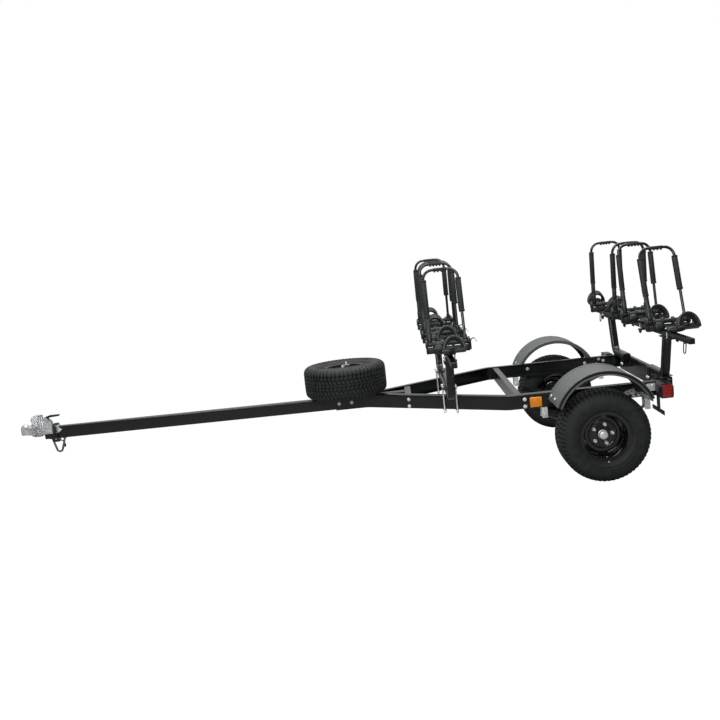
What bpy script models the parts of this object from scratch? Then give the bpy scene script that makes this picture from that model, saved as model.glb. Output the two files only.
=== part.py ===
# Kayak trailer: a tongue-and-rail frame on one sprung axle, with two raised crossbars
# and eight folding cradles. All sizes are in metres. Everything is modelled in the
# trailer's own level frame: X runs back from the axle, Y to the right of a driver
# facing forward, Z up, and the axle's centre is the origin. An empty then tips the
# trailer nose down until its tongue stand meets the ground.

import math

import bmesh
import bpy
from mathutils import Matrix, Vector

FIT = 0.0003  # gap between two pieces that touch
RUNNING = 0.0003  # radial gap of a pivot or a bearing
WELD = 0.002  # how far fused shapes reach into each other
SIDES = {"left": -1, "right": 1}

# Wheels
TYRE_RADIUS = 0.2605
TYRE_WIDTH = 0.203
TYRE_WALL = 0.009
BEAD_RADIUS = 0.127
RIM_FLANGE_RADIUS = 0.144
RIM_HALF_WIDTH = 0.080
RIM_WALL = 0.0035
DROP_RADIUS = 0.108
DISC_WALL = 0.004
WHEEL_GAP = 0.029
LUG_CIRCLE = 0.1143
LUGS = 5
LUG_TURN = -0.2702
STUD_RADIUS = 0.0062
NUT_RADIUS = 0.0108
NUT_HEIGHT = 0.016
HUB_RADIUS = 0.034
HUB_FLANGE_RADIUS = 0.070
HUB_FLANGE = 0.009
HUB_INNER_LENGTH = 0.052
CAP_RADIUS = 0.026
CAP_LENGTH = 0.041
TYRE_STEPS = 24
RIM_STEPS = 12

# Axle and springs
AXLE_SQUARE = 0.0381
SPINDLE_RADIUS = 0.0135
SPRING_INSET = 0.019
LEAF_WIDTH = 0.0445
LEAF = 0.006
LEAVES = 3
LEAF_STEPS = 8
SECOND_LEAF_HALF = 0.205
THIRD_LEAF_HALF = 0.115
FRONT_EYE_X = -0.2955
FRONT_EYE_Z = 0.115
REAR_SLIDE_X = 0.3045
HANGER_LENGTH = 0.033
HANGER_WALL = 0.004
HANGER_SIDE_GAP = 0.0015
FRONT_HANGER_BOTTOM = 0.099
REAR_HANGER_BOTTOM = 0.092
PIVOT_RADIUS = 0.006
U_BOLT_RADIUS = 0.005
CLAMP_PLATE = 0.006

# Frame rails
RAIL_HEIGHT = 0.0862
RAIL_TOP = 0.2464
RAIL_FLANGE = 0.038
RAIL_WALL = 0.004
FRAME_WIDTH = 1.094
RAIL_FRONT_X = -1.537
RAIL_NOSE_BEND_X = -1.333
RAIL_SHOULDER_X = -0.503
RAIL_REAR_X = 0.4557
NOSE_BOLTS_X = (-1.514, -1.434)
RAIL_BOLT_DROPS = (0.065, 0.025)

# Tongue
TONGUE_WIDTH = 0.0508
TONGUE_SLACK = 0.0007
TONGUE_WALL = 0.0032
TONGUE_CORNER = 0.006
TONGUE_FRONT_X = -3.400
CROSSPIECE_X = -1.070
CROSS_DEPTH = 0.038
FRONT_MEMBER_X = -0.4365
REAR_MEMBER_DEPTH = 0.022
FLANGE_STOP = 0.045
REAR_MEMBER_TOP = 0.2620
REAR_MEMBER_BOTTOM = 0.1390
MEMBER_TAB = 0.055
FRONT_TAB_BOLT = 0.031
REAR_TAB_BOLT = 0.043
BOLT_HEAD_RADIUS = 0.0095
BOLT_HEAD_HEIGHT = 0.007
BOLT_RADIUS = 0.005

# Coupler, at the tongue's nose
COUPLER_WALL = 0.0032
SOCKET_RADIUS = 0.0257
SOCKET_X = -3.5251
SOCKET_Z = 0.242
SOCKET_RIM_Z = 0.205
COUPLER_SIDE_REAR_X = -3.285
COUPLER_SIDE_FRONT_X = -3.470
COUPLER_SIDE_BOTTOM = 0.200
JAW_WIDTH = 0.024
JAW_SIDE_GAP = 0.0006
JAW_PIVOT_X = -3.481
JAW_PIVOT_Z = 0.229
LEVER_PIVOT_X = -3.390
LEVER_PIVOT_Z = 0.296
LEVER_WIDTH = 0.024
LEVER_GRIP_REAR_X = -3.301
LEVER_GRIP_LOW_Z = 0.306
LEVER_GRIP_HIGH_Z = 0.315
COUPLER_BOLTS_X = (-3.372, -3.302)
COUPLER_BOLT_DROP = 0.0261
JAW_PIN_RADIUS = 0.004
LEVER_PIN_RADIUS = 0.003
HITCH_BALL_RADIUS = 0.0285
EAR_WALL = 0.004

# Tongue stand
STAND_RADIUS = 0.0065
STAND_FRONT_X = -3.366
STAND_REAR_X = -3.285
STAND_BEND_X = -3.329
STAND_BEND_Z = 0.093
STAND_BEND_RADIUS = 0.018

# Safety chain and wiring lead wound on the coupler
CHAIN_RADIUS = 0.006
CHAIN_REST_GAP = 0.0014
CHAIN_TURNS = 3
CHAIN_PITCH = 0.0150
CHAIN_START_X = -3.4660
CHAIN_HALF_WIDTH = 0.0555
CHAIN_TOP_Z = 0.315
LEAD_RADIUS = 0.0035
LEAD_TURNS = 3
LEAD_PITCH = 0.0085
LEAD_START_X = -3.3445
LEAD_HALF_WIDTH = 0.0385
LEAD_TOP_Z = 0.2565
LEAD_BOTTOM_Z = 0.1445
LEAD_LOOP_POINTS = 24
CHAIN_LOOP_POINTS = 18
LOOP_SQUARENESS = 5.0

# Risers and crossbars
RISER_TUBE = 0.046
RISER_WALL = 0.0025
RISER_CORNER = 0.009
RISER_BEND = 0.062
RISER_SPLAY = math.radians(16.7)
RISER_INSET = 0.0186
RISER_GAUGE_Z = 0.300
FRONT_RISER_X = -0.8235
REAR_RISER_X = 0.4264
REAR_FOOT_INNER_Y = 0.245
SADDLE_PLATE = 0.005
CROSSBAR = 0.0318
CROSSBAR_WALL = 0.002
CROSSBAR_LENGTH = 1.981
CROSSBAR_Z = 0.527
TIE_INSET = 0.1105
TIE_RADIUS = 0.003
TIE_HALF_WIDTH = 0.018
TIE_DROP = 0.058
TIE_SLEEVE_RADIUS = 0.0062

# Cradles
CRADLES = {
    "left": (-0.617, -1, math.radians(19.3)),
    "middle_left": (-0.121, -1, math.radians(10.0)),
    "middle_right": (0.103, 1, math.radians(2.7)),
    "right": (0.655, 1, math.radians(3.0)),
}
LEG_SPACING = 0.200
LEG_RADIUS = 0.0082
LEG_BEND = 0.055
SLEEVE_RADIUS = 0.0172
SLEEVE_LENGTH = 0.200
CRADLE_RISE = 0.0571
HOOP_LENGTH = 0.434
BARREL_RADIUS = 0.015
BARREL_LENGTH = 0.024
DRUM_RADIUS = 0.027
DRUM_WIDTH = 0.014
HOUSING_RADIUS = 0.031
HOUSING_DROP = 0.030
HOUSING_SPAN = (0.030, 0.080)
ARM_WIDTH = 0.052
ARM_WALL = 0.018
ARM_REACH = 0.315
PAD_HALF_LENGTH = 0.062
PAD_RISE = 0.080
PAD_WALL = 0.013
PAD_SHIFT = 0.014
PAD_WIDTH = 0.062
PAD_TURN_X = 0.235
PAD_END_RISE = 0.030
BASE_BLOCK_LENGTH = 0.130
BLOCK_BACK = 0.030
BLOCK_HALF_WIDTH = 0.036
BLOCK_RISE = 0.026
BRIDGE_STEP = 0.003
GRIP_LENGTH = 0.080
GRIP_WIDTH = 0.018
GRIP_DEPTH = 0.014

# Fenders and lights
FENDER_RADIUS = 0.2929
FENDER_CENTRE_Z = 0.0951
FENDER_END_Z = 0.2066
FENDER_WIDTH = 0.276
FENDER_WALL = 0.003
FENDER_LIP = 0.028
FENDER_SKIRT = 0.024
FENDER_STEPS = 12
BRACE_WIDTH = 0.027
BRACE_WALL = 0.003
FENDER_BOLTS = ((-0.247, 0.209), (-0.228, 0.196))
MARKER_X = -0.343
MARKER_LENGTH = 0.072
MARKER_HEIGHT = 0.060
MARKER_DEPTH = 0.016
MARKER_DROP = 0.006
TAIL_FRONT_X = 0.352
TAIL_REAR_X = 0.430
TAIL_BOTTOM_Z = 0.166
TAIL_TOP_Z = 0.252
TAIL_WIDTH = 0.112
LENS_DEPTH = 0.010
LENS_INSET = 0.008
TAIL_STANDOFF = 0.010
TAIL_PLATE_REACH = 0.054
TAIL_PLATE_WALL = 0.004
PLATE_LENGTH = 0.210
PLATE_HEIGHT = 0.026
PLATE_DROP = 0.087

# Spare wheel
SPARE_X = -1.4585
CARRIER_LIFT = 0.008
CARRIER_POST = 0.040

half_frame = FRAME_WIDTH / 2
rail_bottom = RAIL_TOP - RAIL_HEIGHT
channel_floor = rail_bottom + RAIL_WALL + FIT
channel_roof = RAIL_TOP - RAIL_WALL - FIT
tongue_centre_z = (channel_floor + channel_roof) / 2
tongue_height = channel_roof - channel_floor - 2 * TONGUE_SLACK
tongue_top = tongue_centre_z + tongue_height / 2
tongue_bottom = tongue_centre_z - tongue_height / 2
nose_y = TONGUE_WIDTH / 2 + FIT + RAIL_WALL
splay = math.atan2(half_frame - nose_y, RAIL_SHOULDER_X - RAIL_NOSE_BEND_X)
wheel_y = half_frame + WHEEL_GAP + TYRE_WIDTH / 2
spring_y = half_frame - SPRING_INSET
fender_outer_y = half_frame + FENDER_WIDTH
riser_y_at_gauge = half_frame - RISER_INSET
tie_y = CROSSBAR_LENGTH / 2 - TIE_INSET
cradle_pivot_z = CROSSBAR_Z + CROSSBAR / 2 + CRADLE_RISE
leaf_middle_z = AXLE_SQUARE / 2 + FIT + LEAF * (LEAVES - 0.5)
eye_radius = PIVOT_RADIUS + RUNNING + LEAF
leaf_curve = (FRONT_EYE_Z - eye_radius + LEAF / 2 - leaf_middle_z) / FRONT_EYE_X**2


def clear_scene():
    for obj in list(bpy.data.objects):
        bpy.data.objects.remove(obj)


def as_object(bm, name="piece"):
    bmesh.ops.remove_doubles(bm, verts=bm.verts, dist=1e-7)
    bmesh.ops.recalc_face_normals(bm, faces=bm.faces)
    mesh = bpy.data.meshes.new(name)
    bm.to_mesh(mesh)
    bm.free()
    obj = bpy.data.objects.new(name, mesh)
    bpy.context.scene.collection.objects.link(obj)
    return obj


def prism(corners, travel):
    bm = bmesh.new()
    face = bm.faces.new([bm.verts.new(corner) for corner in corners])
    pushed = bmesh.ops.extrude_face_region(bm, geom=[face], use_keep_orig=True)
    moved = [v for v in pushed["geom"] if isinstance(v, bmesh.types.BMVert)]
    bmesh.ops.translate(bm, verts=moved, vec=travel)
    return as_object(bm)


def box(low, high):
    x0, y0, z0 = low
    x1, y1, z1 = high
    return prism([(x0, y0, z0), (x1, y0, z0), (x1, y1, z0), (x0, y1, z0)], (0, 0, z1 - z0))


def round_outline(radius, sides, turn=0.0):
    angles = [turn + 2 * math.pi * i / sides for i in range(sides)]
    return [(radius * math.cos(a), radius * math.sin(a)) for a in angles]


def round_box_outline(width, height, corner, steps=2):
    outline = []
    for quarter, (sx, sy) in enumerate([(1, 1), (-1, 1), (-1, -1), (1, -1)]):
        for i in range(steps):
            a = math.pi / 2 * (quarter + i / (steps - 1))
            x = sx * (width / 2 - corner) + corner * math.cos(a)
            y = sy * (height / 2 - corner) + corner * math.sin(a)
            outline.append((x, y))
    return outline


def rod(start, end, radius, sides=12, turn=0.0):
    start = Vector(start)
    along = Vector(end) - start
    frame = along.to_track_quat("Z", "Y").to_matrix()
    corners = [start + frame @ Vector((a, b, 0)) for a, b in round_outline(radius, sides, turn)]
    return prism(corners, along)


def sweep(outline, path, side, inner=None):
    """Carries an outline along a flat path. Outline points are (along side, across the path)."""
    path = [Vector(p) for p in path]
    side = Vector(side).normalized()
    steps = [(b - a).normalized() for a, b in zip(path, path[1:])]
    bm = bmesh.new()
    walls = []
    for ring in [outline] + ([inner] if inner else []):
        rows = []
        for i, point in enumerate(path):
            before = steps[max(i - 1, 0)]
            after = steps[min(i, len(steps) - 1)]
            tangent = (before + after).normalized()
            across = tangent.cross(side) / tangent.dot(before)
            rows.append([bm.verts.new(point + a * side + b * across) for a, b in ring])
        walls.append(rows)
    for rows in walls:
        for near, far in zip(rows, rows[1:]):
            for j in range(len(near)):
                k = (j + 1) % len(near)
                bm.faces.new([near[j], near[k], far[k], far[j]])
    for end in (0, -1):
        if inner:
            outer_row, inner_row = walls[0][end], walls[1][end]
            for j in range(len(outer_row)):
                k = (j + 1) % len(outer_row)
                bm.faces.new([outer_row[j], outer_row[k], inner_row[k], inner_row[j]])
        else:
            bm.faces.new(walls[0][end])
    return as_object(bm)


def bend(corner, before, after, radius, steps=3):
    """Points of the arc that rounds a path's corner."""
    corner, before, after = Vector(corner), Vector(before), Vector(after)
    back = (before - corner).normalized()
    ahead = (after - corner).normalized()
    half = back.angle(ahead) / 2
    centre = corner + (back + ahead).normalized() * (radius / math.sin(half))
    first = corner + back * (radius / math.tan(half)) - centre
    last = corner + ahead * (radius / math.tan(half)) - centre
    turn = first.rotation_difference(last)
    axis, angle = turn.to_axis_angle()
    return [centre + Matrix.Rotation(angle * i / steps, 3, axis) @ first for i in range(steps + 1)]


def turned(profile, steps, turn=0.0):
    """Spins a closed profile of (radius, along Y) points round the Y axis."""
    bm = bmesh.new()
    verts = [bm.verts.new((r, y, 0)) for r, y in profile]
    edges = [bm.edges.new((verts[i - 1], verts[i])) for i in range(len(verts))]
    bmesh.ops.spin(
        bm, geom=verts + edges, cent=(0, 0, 0), axis=(0, 1, 0), angle=2 * math.pi,
        steps=steps, use_merge=True,
    )
    bmesh.ops.rotate(bm, verts=bm.verts, cent=(0, 0, 0), matrix=Matrix.Rotation(turn, 3, "Y"))
    return as_object(bm)


def turned_solid(profile, steps, turn=0.0):
    """Spins an open profile whose first and last points lie on the Y axis."""
    bm = bmesh.new()
    verts = [bm.verts.new((r, y, 0)) for r, y in profile]
    edges = [bm.edges.new((a, b)) for a, b in zip(verts, verts[1:])]
    bmesh.ops.spin(
        bm, geom=verts + edges, cent=(0, 0, 0), axis=(0, 1, 0), angle=2 * math.pi,
        steps=steps, use_merge=True,
    )
    bmesh.ops.rotate(bm, verts=bm.verts, cent=(0, 0, 0), matrix=Matrix.Rotation(turn, 3, "Y"))
    bmesh.ops.remove_doubles(bm, verts=bm.verts, dist=1e-6)
    return as_object(bm)


def reshape(obj, matrix):
    """Moves, turns or mirrors a mesh, and keeps its faces pointing out."""
    obj.data.transform(matrix)
    if matrix.determinant() < 0:
        obj.data.flip_normals()
    return obj


def shifted(obj, offset):
    return reshape(obj, Matrix.Translation(offset))


def to_side(obj, sign):
    """Mirrors a right-hand piece for the left side."""
    if sign < 0:
        reshape(obj, Matrix.Scale(-1, 4, (0, 1, 0)))
    return obj


def joined(base, others, operation="UNION"):
    for other in others:
        change = base.modifiers.new("join", "BOOLEAN")
        change.operation = operation
        change.solver = "EXACT"
        change.object = other
        graph = bpy.context.evaluated_depsgraph_get()
        made = bpy.data.meshes.new_from_object(base.evaluated_get(graph))
        base.modifiers.clear()
        base.data = made
        bpy.data.objects.remove(other)
    return base


def cut(base, cutters):
    return joined(base, cutters, "DIFFERENCE")


def material(name, colour, roughness, metallic=0.0):
    made = bpy.data.materials.new(name)
    made.use_nodes = True
    shader = made.node_tree.nodes["Principled BSDF"]
    shader.inputs["Base Color"].default_value = (*colour, 1)
    shader.inputs["Roughness"].default_value = roughness
    shader.inputs["Metallic"].default_value = metallic
    return made


def node(obj, name, finish, origin=(0, 0, 0)):
    """Names a finished piece, sets its origin and fixes it to the trailer."""
    colour, roughness, metallic = FINISHES[finish]
    shifted(obj, -Vector(origin))
    obj.location = origin
    obj.name = name
    obj.data.name = name
    obj.data.materials.clear()
    obj.data.materials.append(material(name, colour, roughness, metallic))
    obj.data.shade_smooth()
    obj.data.set_sharp_from_angle(angle=math.radians(35))
    obj.parent = trailer
    return obj


FINISHES = {
    "black_paint": ((0.012, 0.013, 0.014), 0.35, 0.0),
    "zinc": ((0.60, 0.61, 0.62), 0.35, 1.0),
    "rubber": ((0.014, 0.014, 0.015), 0.75, 0.0),
    "black_plastic": ((0.02, 0.02, 0.021), 0.5, 0.0),
    "amber_lens": ((0.80, 0.25, 0.02), 0.15, 0.0),
    "red_lens": ((0.55, 0.01, 0.01), 0.15, 0.0),
    "cable": ((0.015, 0.015, 0.016), 0.5, 0.0),
}


def rail_y(x):
    """Outer face of the right-hand rail at a station along the trailer."""
    if x <= RAIL_NOSE_BEND_X:
        return nose_y
    if x >= RAIL_SHOULDER_X:
        return half_frame
    return nose_y + (x - RAIL_NOSE_BEND_X) * math.tan(splay)


def bolt(point, outward, head=BOLT_HEAD_RADIUS, height=BOLT_HEAD_HEIGHT):
    """A hexagon head that stands on a face and reaches a little into it."""
    outward = Vector(outward).normalized()
    point = Vector(point)
    return rod(point - outward * WELD, point + outward * height, head, 6)


def riser_y(z):
    return riser_y_at_gauge + math.tan(RISER_SPLAY) * (z - RISER_GAUGE_Z)


def make_rails():
    channel = [
        (0, 0), (RAIL_HEIGHT, 0), (RAIL_HEIGHT, RAIL_FLANGE),
        (RAIL_HEIGHT - RAIL_WALL, RAIL_FLANGE), (RAIL_HEIGHT - RAIL_WALL, RAIL_WALL),
        (RAIL_WALL, RAIL_WALL), (RAIL_WALL, RAIL_FLANGE), (0, RAIL_FLANGE),
    ]
    stations = (RAIL_FRONT_X, RAIL_NOSE_BEND_X, RAIL_SHOULDER_X, RAIL_REAR_X)
    slope = Vector((-math.sin(splay), math.cos(splay), 0))
    heights = [RAIL_TOP - drop for drop in RAIL_BOLT_DROPS]
    for side, sign in SIDES.items():
        path = [(x, rail_y(x), rail_bottom) for x in stations]
        rail = sweep(channel, path, (0, 0, 1))
        trim = box((RAIL_FRONT_X - 0.01, -0.1, 0), (RAIL_SHOULDER_X, FIT, 1))
        rail = cut(rail, [trim])
        heads = [bolt((x, nose_y, tongue_centre_z), (0, 1, 0)) for x in NOSE_BOLTS_X]
        heads += [bolt((CROSSPIECE_X, rail_y(CROSSPIECE_X), z), slope) for z in heights]
        for x in (FRONT_MEMBER_X + FRONT_TAB_BOLT, RAIL_REAR_X - REAR_TAB_BOLT):
            heads += [bolt((x, half_frame, z), (0, 1, 0)) for z in heights]
        rail = joined(rail, heads)
        node(to_side(rail, sign), f"side_rail_{side}", "black_paint")


def make_tongue():
    outline = round_box_outline(tongue_height, TONGUE_WIDTH, TONGUE_CORNER)
    inner = round_box_outline(
        tongue_height - 2 * TONGUE_WALL, TONGUE_WIDTH - 2 * TONGUE_WALL, TONGUE_CORNER - TONGUE_WALL
    )
    rear = CROSSPIECE_X - CROSS_DEPTH / 2 - FIT
    path = [(TONGUE_FRONT_X, 0, tongue_centre_z), (rear, 0, tongue_centre_z)]
    node(sweep(outline, path, (0, 0, 1), inner), "tongue_tube", "black_paint")


def open_member(corners, inner_corners, low, high):
    """A channel lying across the frame, from its outline in plan and that of its hollow."""
    body = prism([(x, y, low) for x, y in corners], (0, 0, high - low))
    hollow = prism(
        [(x, y, low + RAIL_WALL) for x, y in inner_corners], (0, 0, high - low - 2 * RAIL_WALL)
    )
    return cut(body, [hollow])


def make_crosspieces():
    front = CROSSPIECE_X - CROSS_DEPTH / 2
    rear = CROSSPIECE_X + CROSS_DEPTH / 2
    reach = (RAIL_WALL + FIT) / math.cos(splay)

    def end(x):
        return rail_y(x) - reach

    corners = [(front, -end(front)), (rear, -end(rear)), (rear, end(rear)), (front, end(front))]
    web = front + RAIL_WALL
    past = rear + 0.01
    wide = end(rear) + 0.02
    hollow = [(web, -wide), (past, -wide), (past, wide), (web, wide)]
    piece = open_member(corners, hollow, channel_floor, channel_roof)
    node(piece, "tongue_crosspiece", "black_paint")

    front = FRONT_MEMBER_X - CROSS_DEPTH / 2
    rear = FRONT_MEMBER_X + CROSS_DEPTH / 2
    reach = half_frame - RAIL_WALL - FIT
    corners = [(front, -reach), (rear, -reach), (rear, reach), (front, reach)]
    web = front + RAIL_WALL
    past = rear + 0.01
    hollow = [(web, -reach - 0.01), (past, -reach - 0.01), (past, reach + 0.01), (web, reach + 0.01)]
    piece = open_member(corners, hollow, channel_floor, channel_roof)
    tabs = [
        box((front, min(s * reach, s * (reach - RAIL_WALL)), channel_floor + 0.006),
            (rear + 0.028, max(s * reach, s * (reach - RAIL_WALL)), channel_roof - 0.006))
        for s in SIDES.values()
    ]
    node(joined(piece, tabs), "front_crossmember", "black_paint")

    front = RAIL_REAR_X + FIT
    rear = front + REAR_MEMBER_DEPTH
    wide = half_frame
    corners = [(front, -wide), (rear, -wide), (rear, wide), (front, wide)]
    web = front + RAIL_WALL
    past = rear + 0.01
    hollow = [(web, -wide - 0.01), (past, -wide - 0.01), (past, wide + 0.01), (web, wide + 0.01)]
    piece = open_member(corners, hollow, REAR_MEMBER_BOTTOM, REAR_MEMBER_TOP)
    # The flanges stop short of the rails, so that only the web covers the rails' ends.
    stops = [
        box((web, min(s * (wide - FLANGE_STOP), s * (wide + 0.01)), REAR_MEMBER_BOTTOM - 0.01),
            (past, max(s * (wide - FLANGE_STOP), s * (wide + 0.01)), REAR_MEMBER_TOP + 0.01))
        for s in SIDES.values()
    ]
    piece = cut(piece, stops)
    tabs = [
        box((front - MEMBER_TAB, min(s * reach, s * (reach - RAIL_WALL)), channel_floor + 0.004),
            (front + WELD, max(s * reach, s * (reach - RAIL_WALL)), channel_roof - 0.004))
        for s in SIDES.values()
    ]
    node(joined(piece, tabs), "rear_crossmember", "black_paint")


def leaf_z(x):
    return leaf_middle_z + leaf_curve * x * x


def make_springs():
    outer_wall = LEAF_WIDTH / 2 + HANGER_SIDE_GAP + HANGER_WALL
    for side, sign in SIDES.items():
        steep = math.hypot(1, 2 * leaf_curve * REAR_SLIDE_X)
        slide_z = leaf_z(REAR_SLIDE_X) - LEAF / 2 - (PIVOT_RADIUS + 2 * FIT) * steep
        pin_z = {"front": FRONT_EYE_Z, "rear": slide_z}
        for place, x, bottom in (
            ("front", FRONT_EYE_X, FRONT_HANGER_BOTTOM),
            ("rear", REAR_SLIDE_X, REAR_HANGER_BOTTOM),
        ):
            low = (x - HANGER_LENGTH / 2, spring_y - outer_wall, min(bottom, pin_z[place] - 0.012))
            high = (x + HANGER_LENGTH / 2, spring_y + outer_wall, rail_bottom - FIT)
            hanger = box(low, high)
            inside = box(
                (low[0] - 0.01, low[1] + HANGER_WALL, low[2] - 0.01),
                (high[0] + 0.01, high[1] - HANGER_WALL, high[2] - HANGER_WALL),
            )
            hanger = cut(hanger, [inside])
            pin_ends = [(x, spring_y + s * (outer_wall + 0.009), pin_z[place]) for s in (-1, 1)]
            hanger = joined(hanger, [rod(*pin_ends, PIVOT_RADIUS, 8)])
            heads = [
                bolt((x, spring_y + s * outer_wall, pin_z[place]), (0, s, 0)) for s in (-1, 1)
            ]
            hanger = joined(hanger, heads)
            node(to_side(hanger, sign), f"spring_hanger_{place}_{side}", "zinc")

        tip = REAR_SLIDE_X + HANGER_LENGTH / 2
        stations = [FRONT_EYE_X + (tip - FRONT_EYE_X) * i / LEAF_STEPS for i in range(LEAF_STEPS + 1)]
        spring = leaf(stations, 0)
        for order, half in ((1, SECOND_LEAF_HALF), (2, THIRD_LEAF_HALF)):
            spring = joined(spring, [leaf([half * (i / 2 - 1) for i in range(5)], order)])
        eye = rod(
            (FRONT_EYE_X, spring_y - LEAF_WIDTH / 2, FRONT_EYE_Z),
            (FRONT_EYE_X, spring_y + LEAF_WIDTH / 2, FRONT_EYE_Z), eye_radius, 12,
        )
        bore = rod(
            (FRONT_EYE_X, spring_y - LEAF_WIDTH, FRONT_EYE_Z),
            (FRONT_EYE_X, spring_y + LEAF_WIDTH, FRONT_EYE_Z), PIVOT_RADIUS + RUNNING, 8,
        )
        spring = cut(joined(spring, [eye]), [bore])
        node(to_side(spring, sign), f"leaf_spring_{side}", "black_paint")


def leaf(stations, order):
    """One leaf of the pack, curved under the one above it and a hair into it."""
    drop = order * (LEAF - 0.0004)
    top = [(x, spring_y - LEAF_WIDTH / 2, leaf_z(x) + LEAF / 2 - drop) for x in stations]
    low = [(x, spring_y - LEAF_WIDTH / 2, leaf_z(x) - LEAF / 2 - drop) for x in stations]
    return prism(top + low[::-1], (0, LEAF_WIDTH, 0))


def spring_clamp():
    """Plates and U-bolts that hold a spring down on the axle, a hair into the beam."""
    half_x = AXLE_SQUARE / 2 + FIT + U_BOLT_RADIUS
    half_y = LEAF_WIDTH / 2 + FIT + U_BOLT_RADIUS
    edge = 2 * U_BOLT_RADIUS
    step = (REAR_SLIDE_X - FRONT_EYE_X) / LEAF_STEPS
    above = leaf_middle_z + LEAF / 2 + FIT + leaf_curve * ((half_x + edge) ** 2 + step**2 / 3)
    below = WELD - AXLE_SQUARE / 2
    plate = box(
        (-half_x - edge, spring_y - half_y - edge, above),
        (half_x + edge, spring_y + half_y + edge, above + CLAMP_PLATE),
    )
    lower = box(
        (-half_x - edge, spring_y - half_y - edge, below - CLAMP_PLATE),
        (half_x + edge, spring_y + half_y + edge, below),
    )
    bolts = [
        rod((sx * half_x, spring_y + sy * half_y, below - CLAMP_PLATE - 0.012),
            (sx * half_x, spring_y + sy * half_y, above + CLAMP_PLATE + 0.004), U_BOLT_RADIUS, 4)
        for sx in (-1, 1) for sy in (-1, 1)
    ]
    return joined(plate, [bolts[0], lower] + bolts[1:])


def make_axle():
    beam_end = wheel_y - HUB_INNER_LENGTH - 0.012
    half = AXLE_SQUARE / 2
    beam = box((-half, -beam_end, -half), (half, beam_end, half))
    spindles = [
        rod((0, s * (beam_end - 0.01), 0), (0, s * (wheel_y + 0.012), 0), SPINDLE_RADIUS, 12)
        for s in SIDES.values()
    ]
    clamps = [to_side(spring_clamp(), sign) for sign in SIDES.values()]
    node(joined(beam, spindles + clamps), "axle_beam", "black_paint")


def lug_places():
    angles = [LUG_TURN + math.pi / 2 + 2 * math.pi * i / LUGS for i in range(LUGS)]
    return [(LUG_CIRCLE / 2 * math.cos(a), LUG_CIRCLE / 2 * math.sin(a)) for a in angles]


def hub_piece():
    """Hub, studs, nuts and grease cap. Y = 0 is the wheel's middle, +Y is outboard."""
    face = -DISC_WALL / 2 - FIT
    profile = [
        (0, CAP_LENGTH), (CAP_RADIUS - 0.004, CAP_LENGTH), (CAP_RADIUS, CAP_LENGTH - 0.005),
        (CAP_RADIUS, face), (HUB_FLANGE_RADIUS, face), (HUB_FLANGE_RADIUS, face - HUB_FLANGE),
        (HUB_RADIUS, face - HUB_FLANGE), (HUB_RADIUS, -HUB_INNER_LENGTH), (0, -HUB_INNER_LENGTH),
    ]
    hub = turned_solid(profile, 12)
    bore = rod(
        (0, -HUB_INNER_LENGTH - 0.01, 0), (0, CAP_LENGTH - 0.024, 0),
        (SPINDLE_RADIUS + RUNNING) / math.cos(math.pi / 12), 12,
    )
    hub = cut(hub, [bore])
    for x, z in lug_places():
        stud = rod((x, face - WELD, z), (x, DISC_WALL / 2 + FIT + 0.001, z), STUD_RADIUS, 6)
        nut = rod(
            (x, DISC_WALL / 2 + FIT, z), (x, DISC_WALL / 2 + FIT + NUT_HEIGHT, z), NUT_RADIUS, 6
        )
        hub = joined(hub, [stud, nut])
    return hub


def rim_piece():
    """Rim barrel and centre disc in one spun section, with its stud holes."""
    w = RIM_HALF_WIDTH
    t = RIM_WALL
    seat = BEAD_RADIUS
    drop = DROP_RADIUS
    half = DISC_WALL / 2
    hole = CAP_RADIUS + 0.007
    profile = [
        (hole, half), (hole, -half), (drop - t - 0.012, -half), (drop - t, -half - 0.008),
        (drop - t, -0.030),
        (seat - t, -0.045), (seat - t, -w + 0.006), (RIM_FLANGE_RADIUS, -w),
        (seat, -w + t + 0.008), (seat, -0.041), (drop, -0.027), (drop, 0.027), (seat, 0.041),
        (seat, w - t - 0.008), (RIM_FLANGE_RADIUS, w), (seat - t, w - 0.006), (seat - t, 0.045),
        (drop - t, 0.030), (drop - t, half - 0.001),
    ]
    rim = turned(profile, RIM_STEPS)
    holes = [
        rod((x, -0.02, z), (x, 0.02, z), (STUD_RADIUS + FIT * 3) / math.cos(math.pi / 6), 6)
        for x, z in lug_places()
    ]
    return cut(rim, holes)


def tyre_piece(turn=0.0):
    """A hollow tyre, open at its beads, whose flats touch the ground at the true radius."""
    grow = 1 / math.cos(math.pi / TYRE_STEPS)
    r = TYRE_RADIUS * grow
    w = TYRE_WIDTH / 2
    t = TYRE_WALL
    bead = BEAD_RADIUS * grow + FIT * 2
    bead_y = RIM_HALF_WIDTH - RIM_WALL - 0.010
    outer = [(bead, bead_y), (0.172, w), (0.236, w - 0.010), (r, w - 0.045)]
    inner = [(r - t - 0.004, w - 0.052), (0.200, w - t - 0.004), (bead, bead_y - 0.012)]
    profile = outer + [(p, -y) for p, y in reversed(outer)]
    profile += [(p, -y) for p, y in reversed(inner)] + inner
    return turned(profile, TYRE_STEPS, turn)


def make_wheels():
    # A flat of the tyre faces the ground, which is tipped by the trailer's pitch.
    flat_down = math.pi / 2 + math.pi / TYRE_STEPS + pitch
    for side, sign in SIDES.items():
        centre = Vector((0, sign * wheel_y, 0))
        for name, made, finish in (
            ("hub", hub_piece(), "black_paint"),
            ("rim", rim_piece(), "black_paint"),
            ("tyre", tyre_piece(flat_down), "rubber"),
        ):
            piece = shifted(to_side(made, sign), centre)
            node(piece, f"{name}_{side}", finish, centre)


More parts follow.
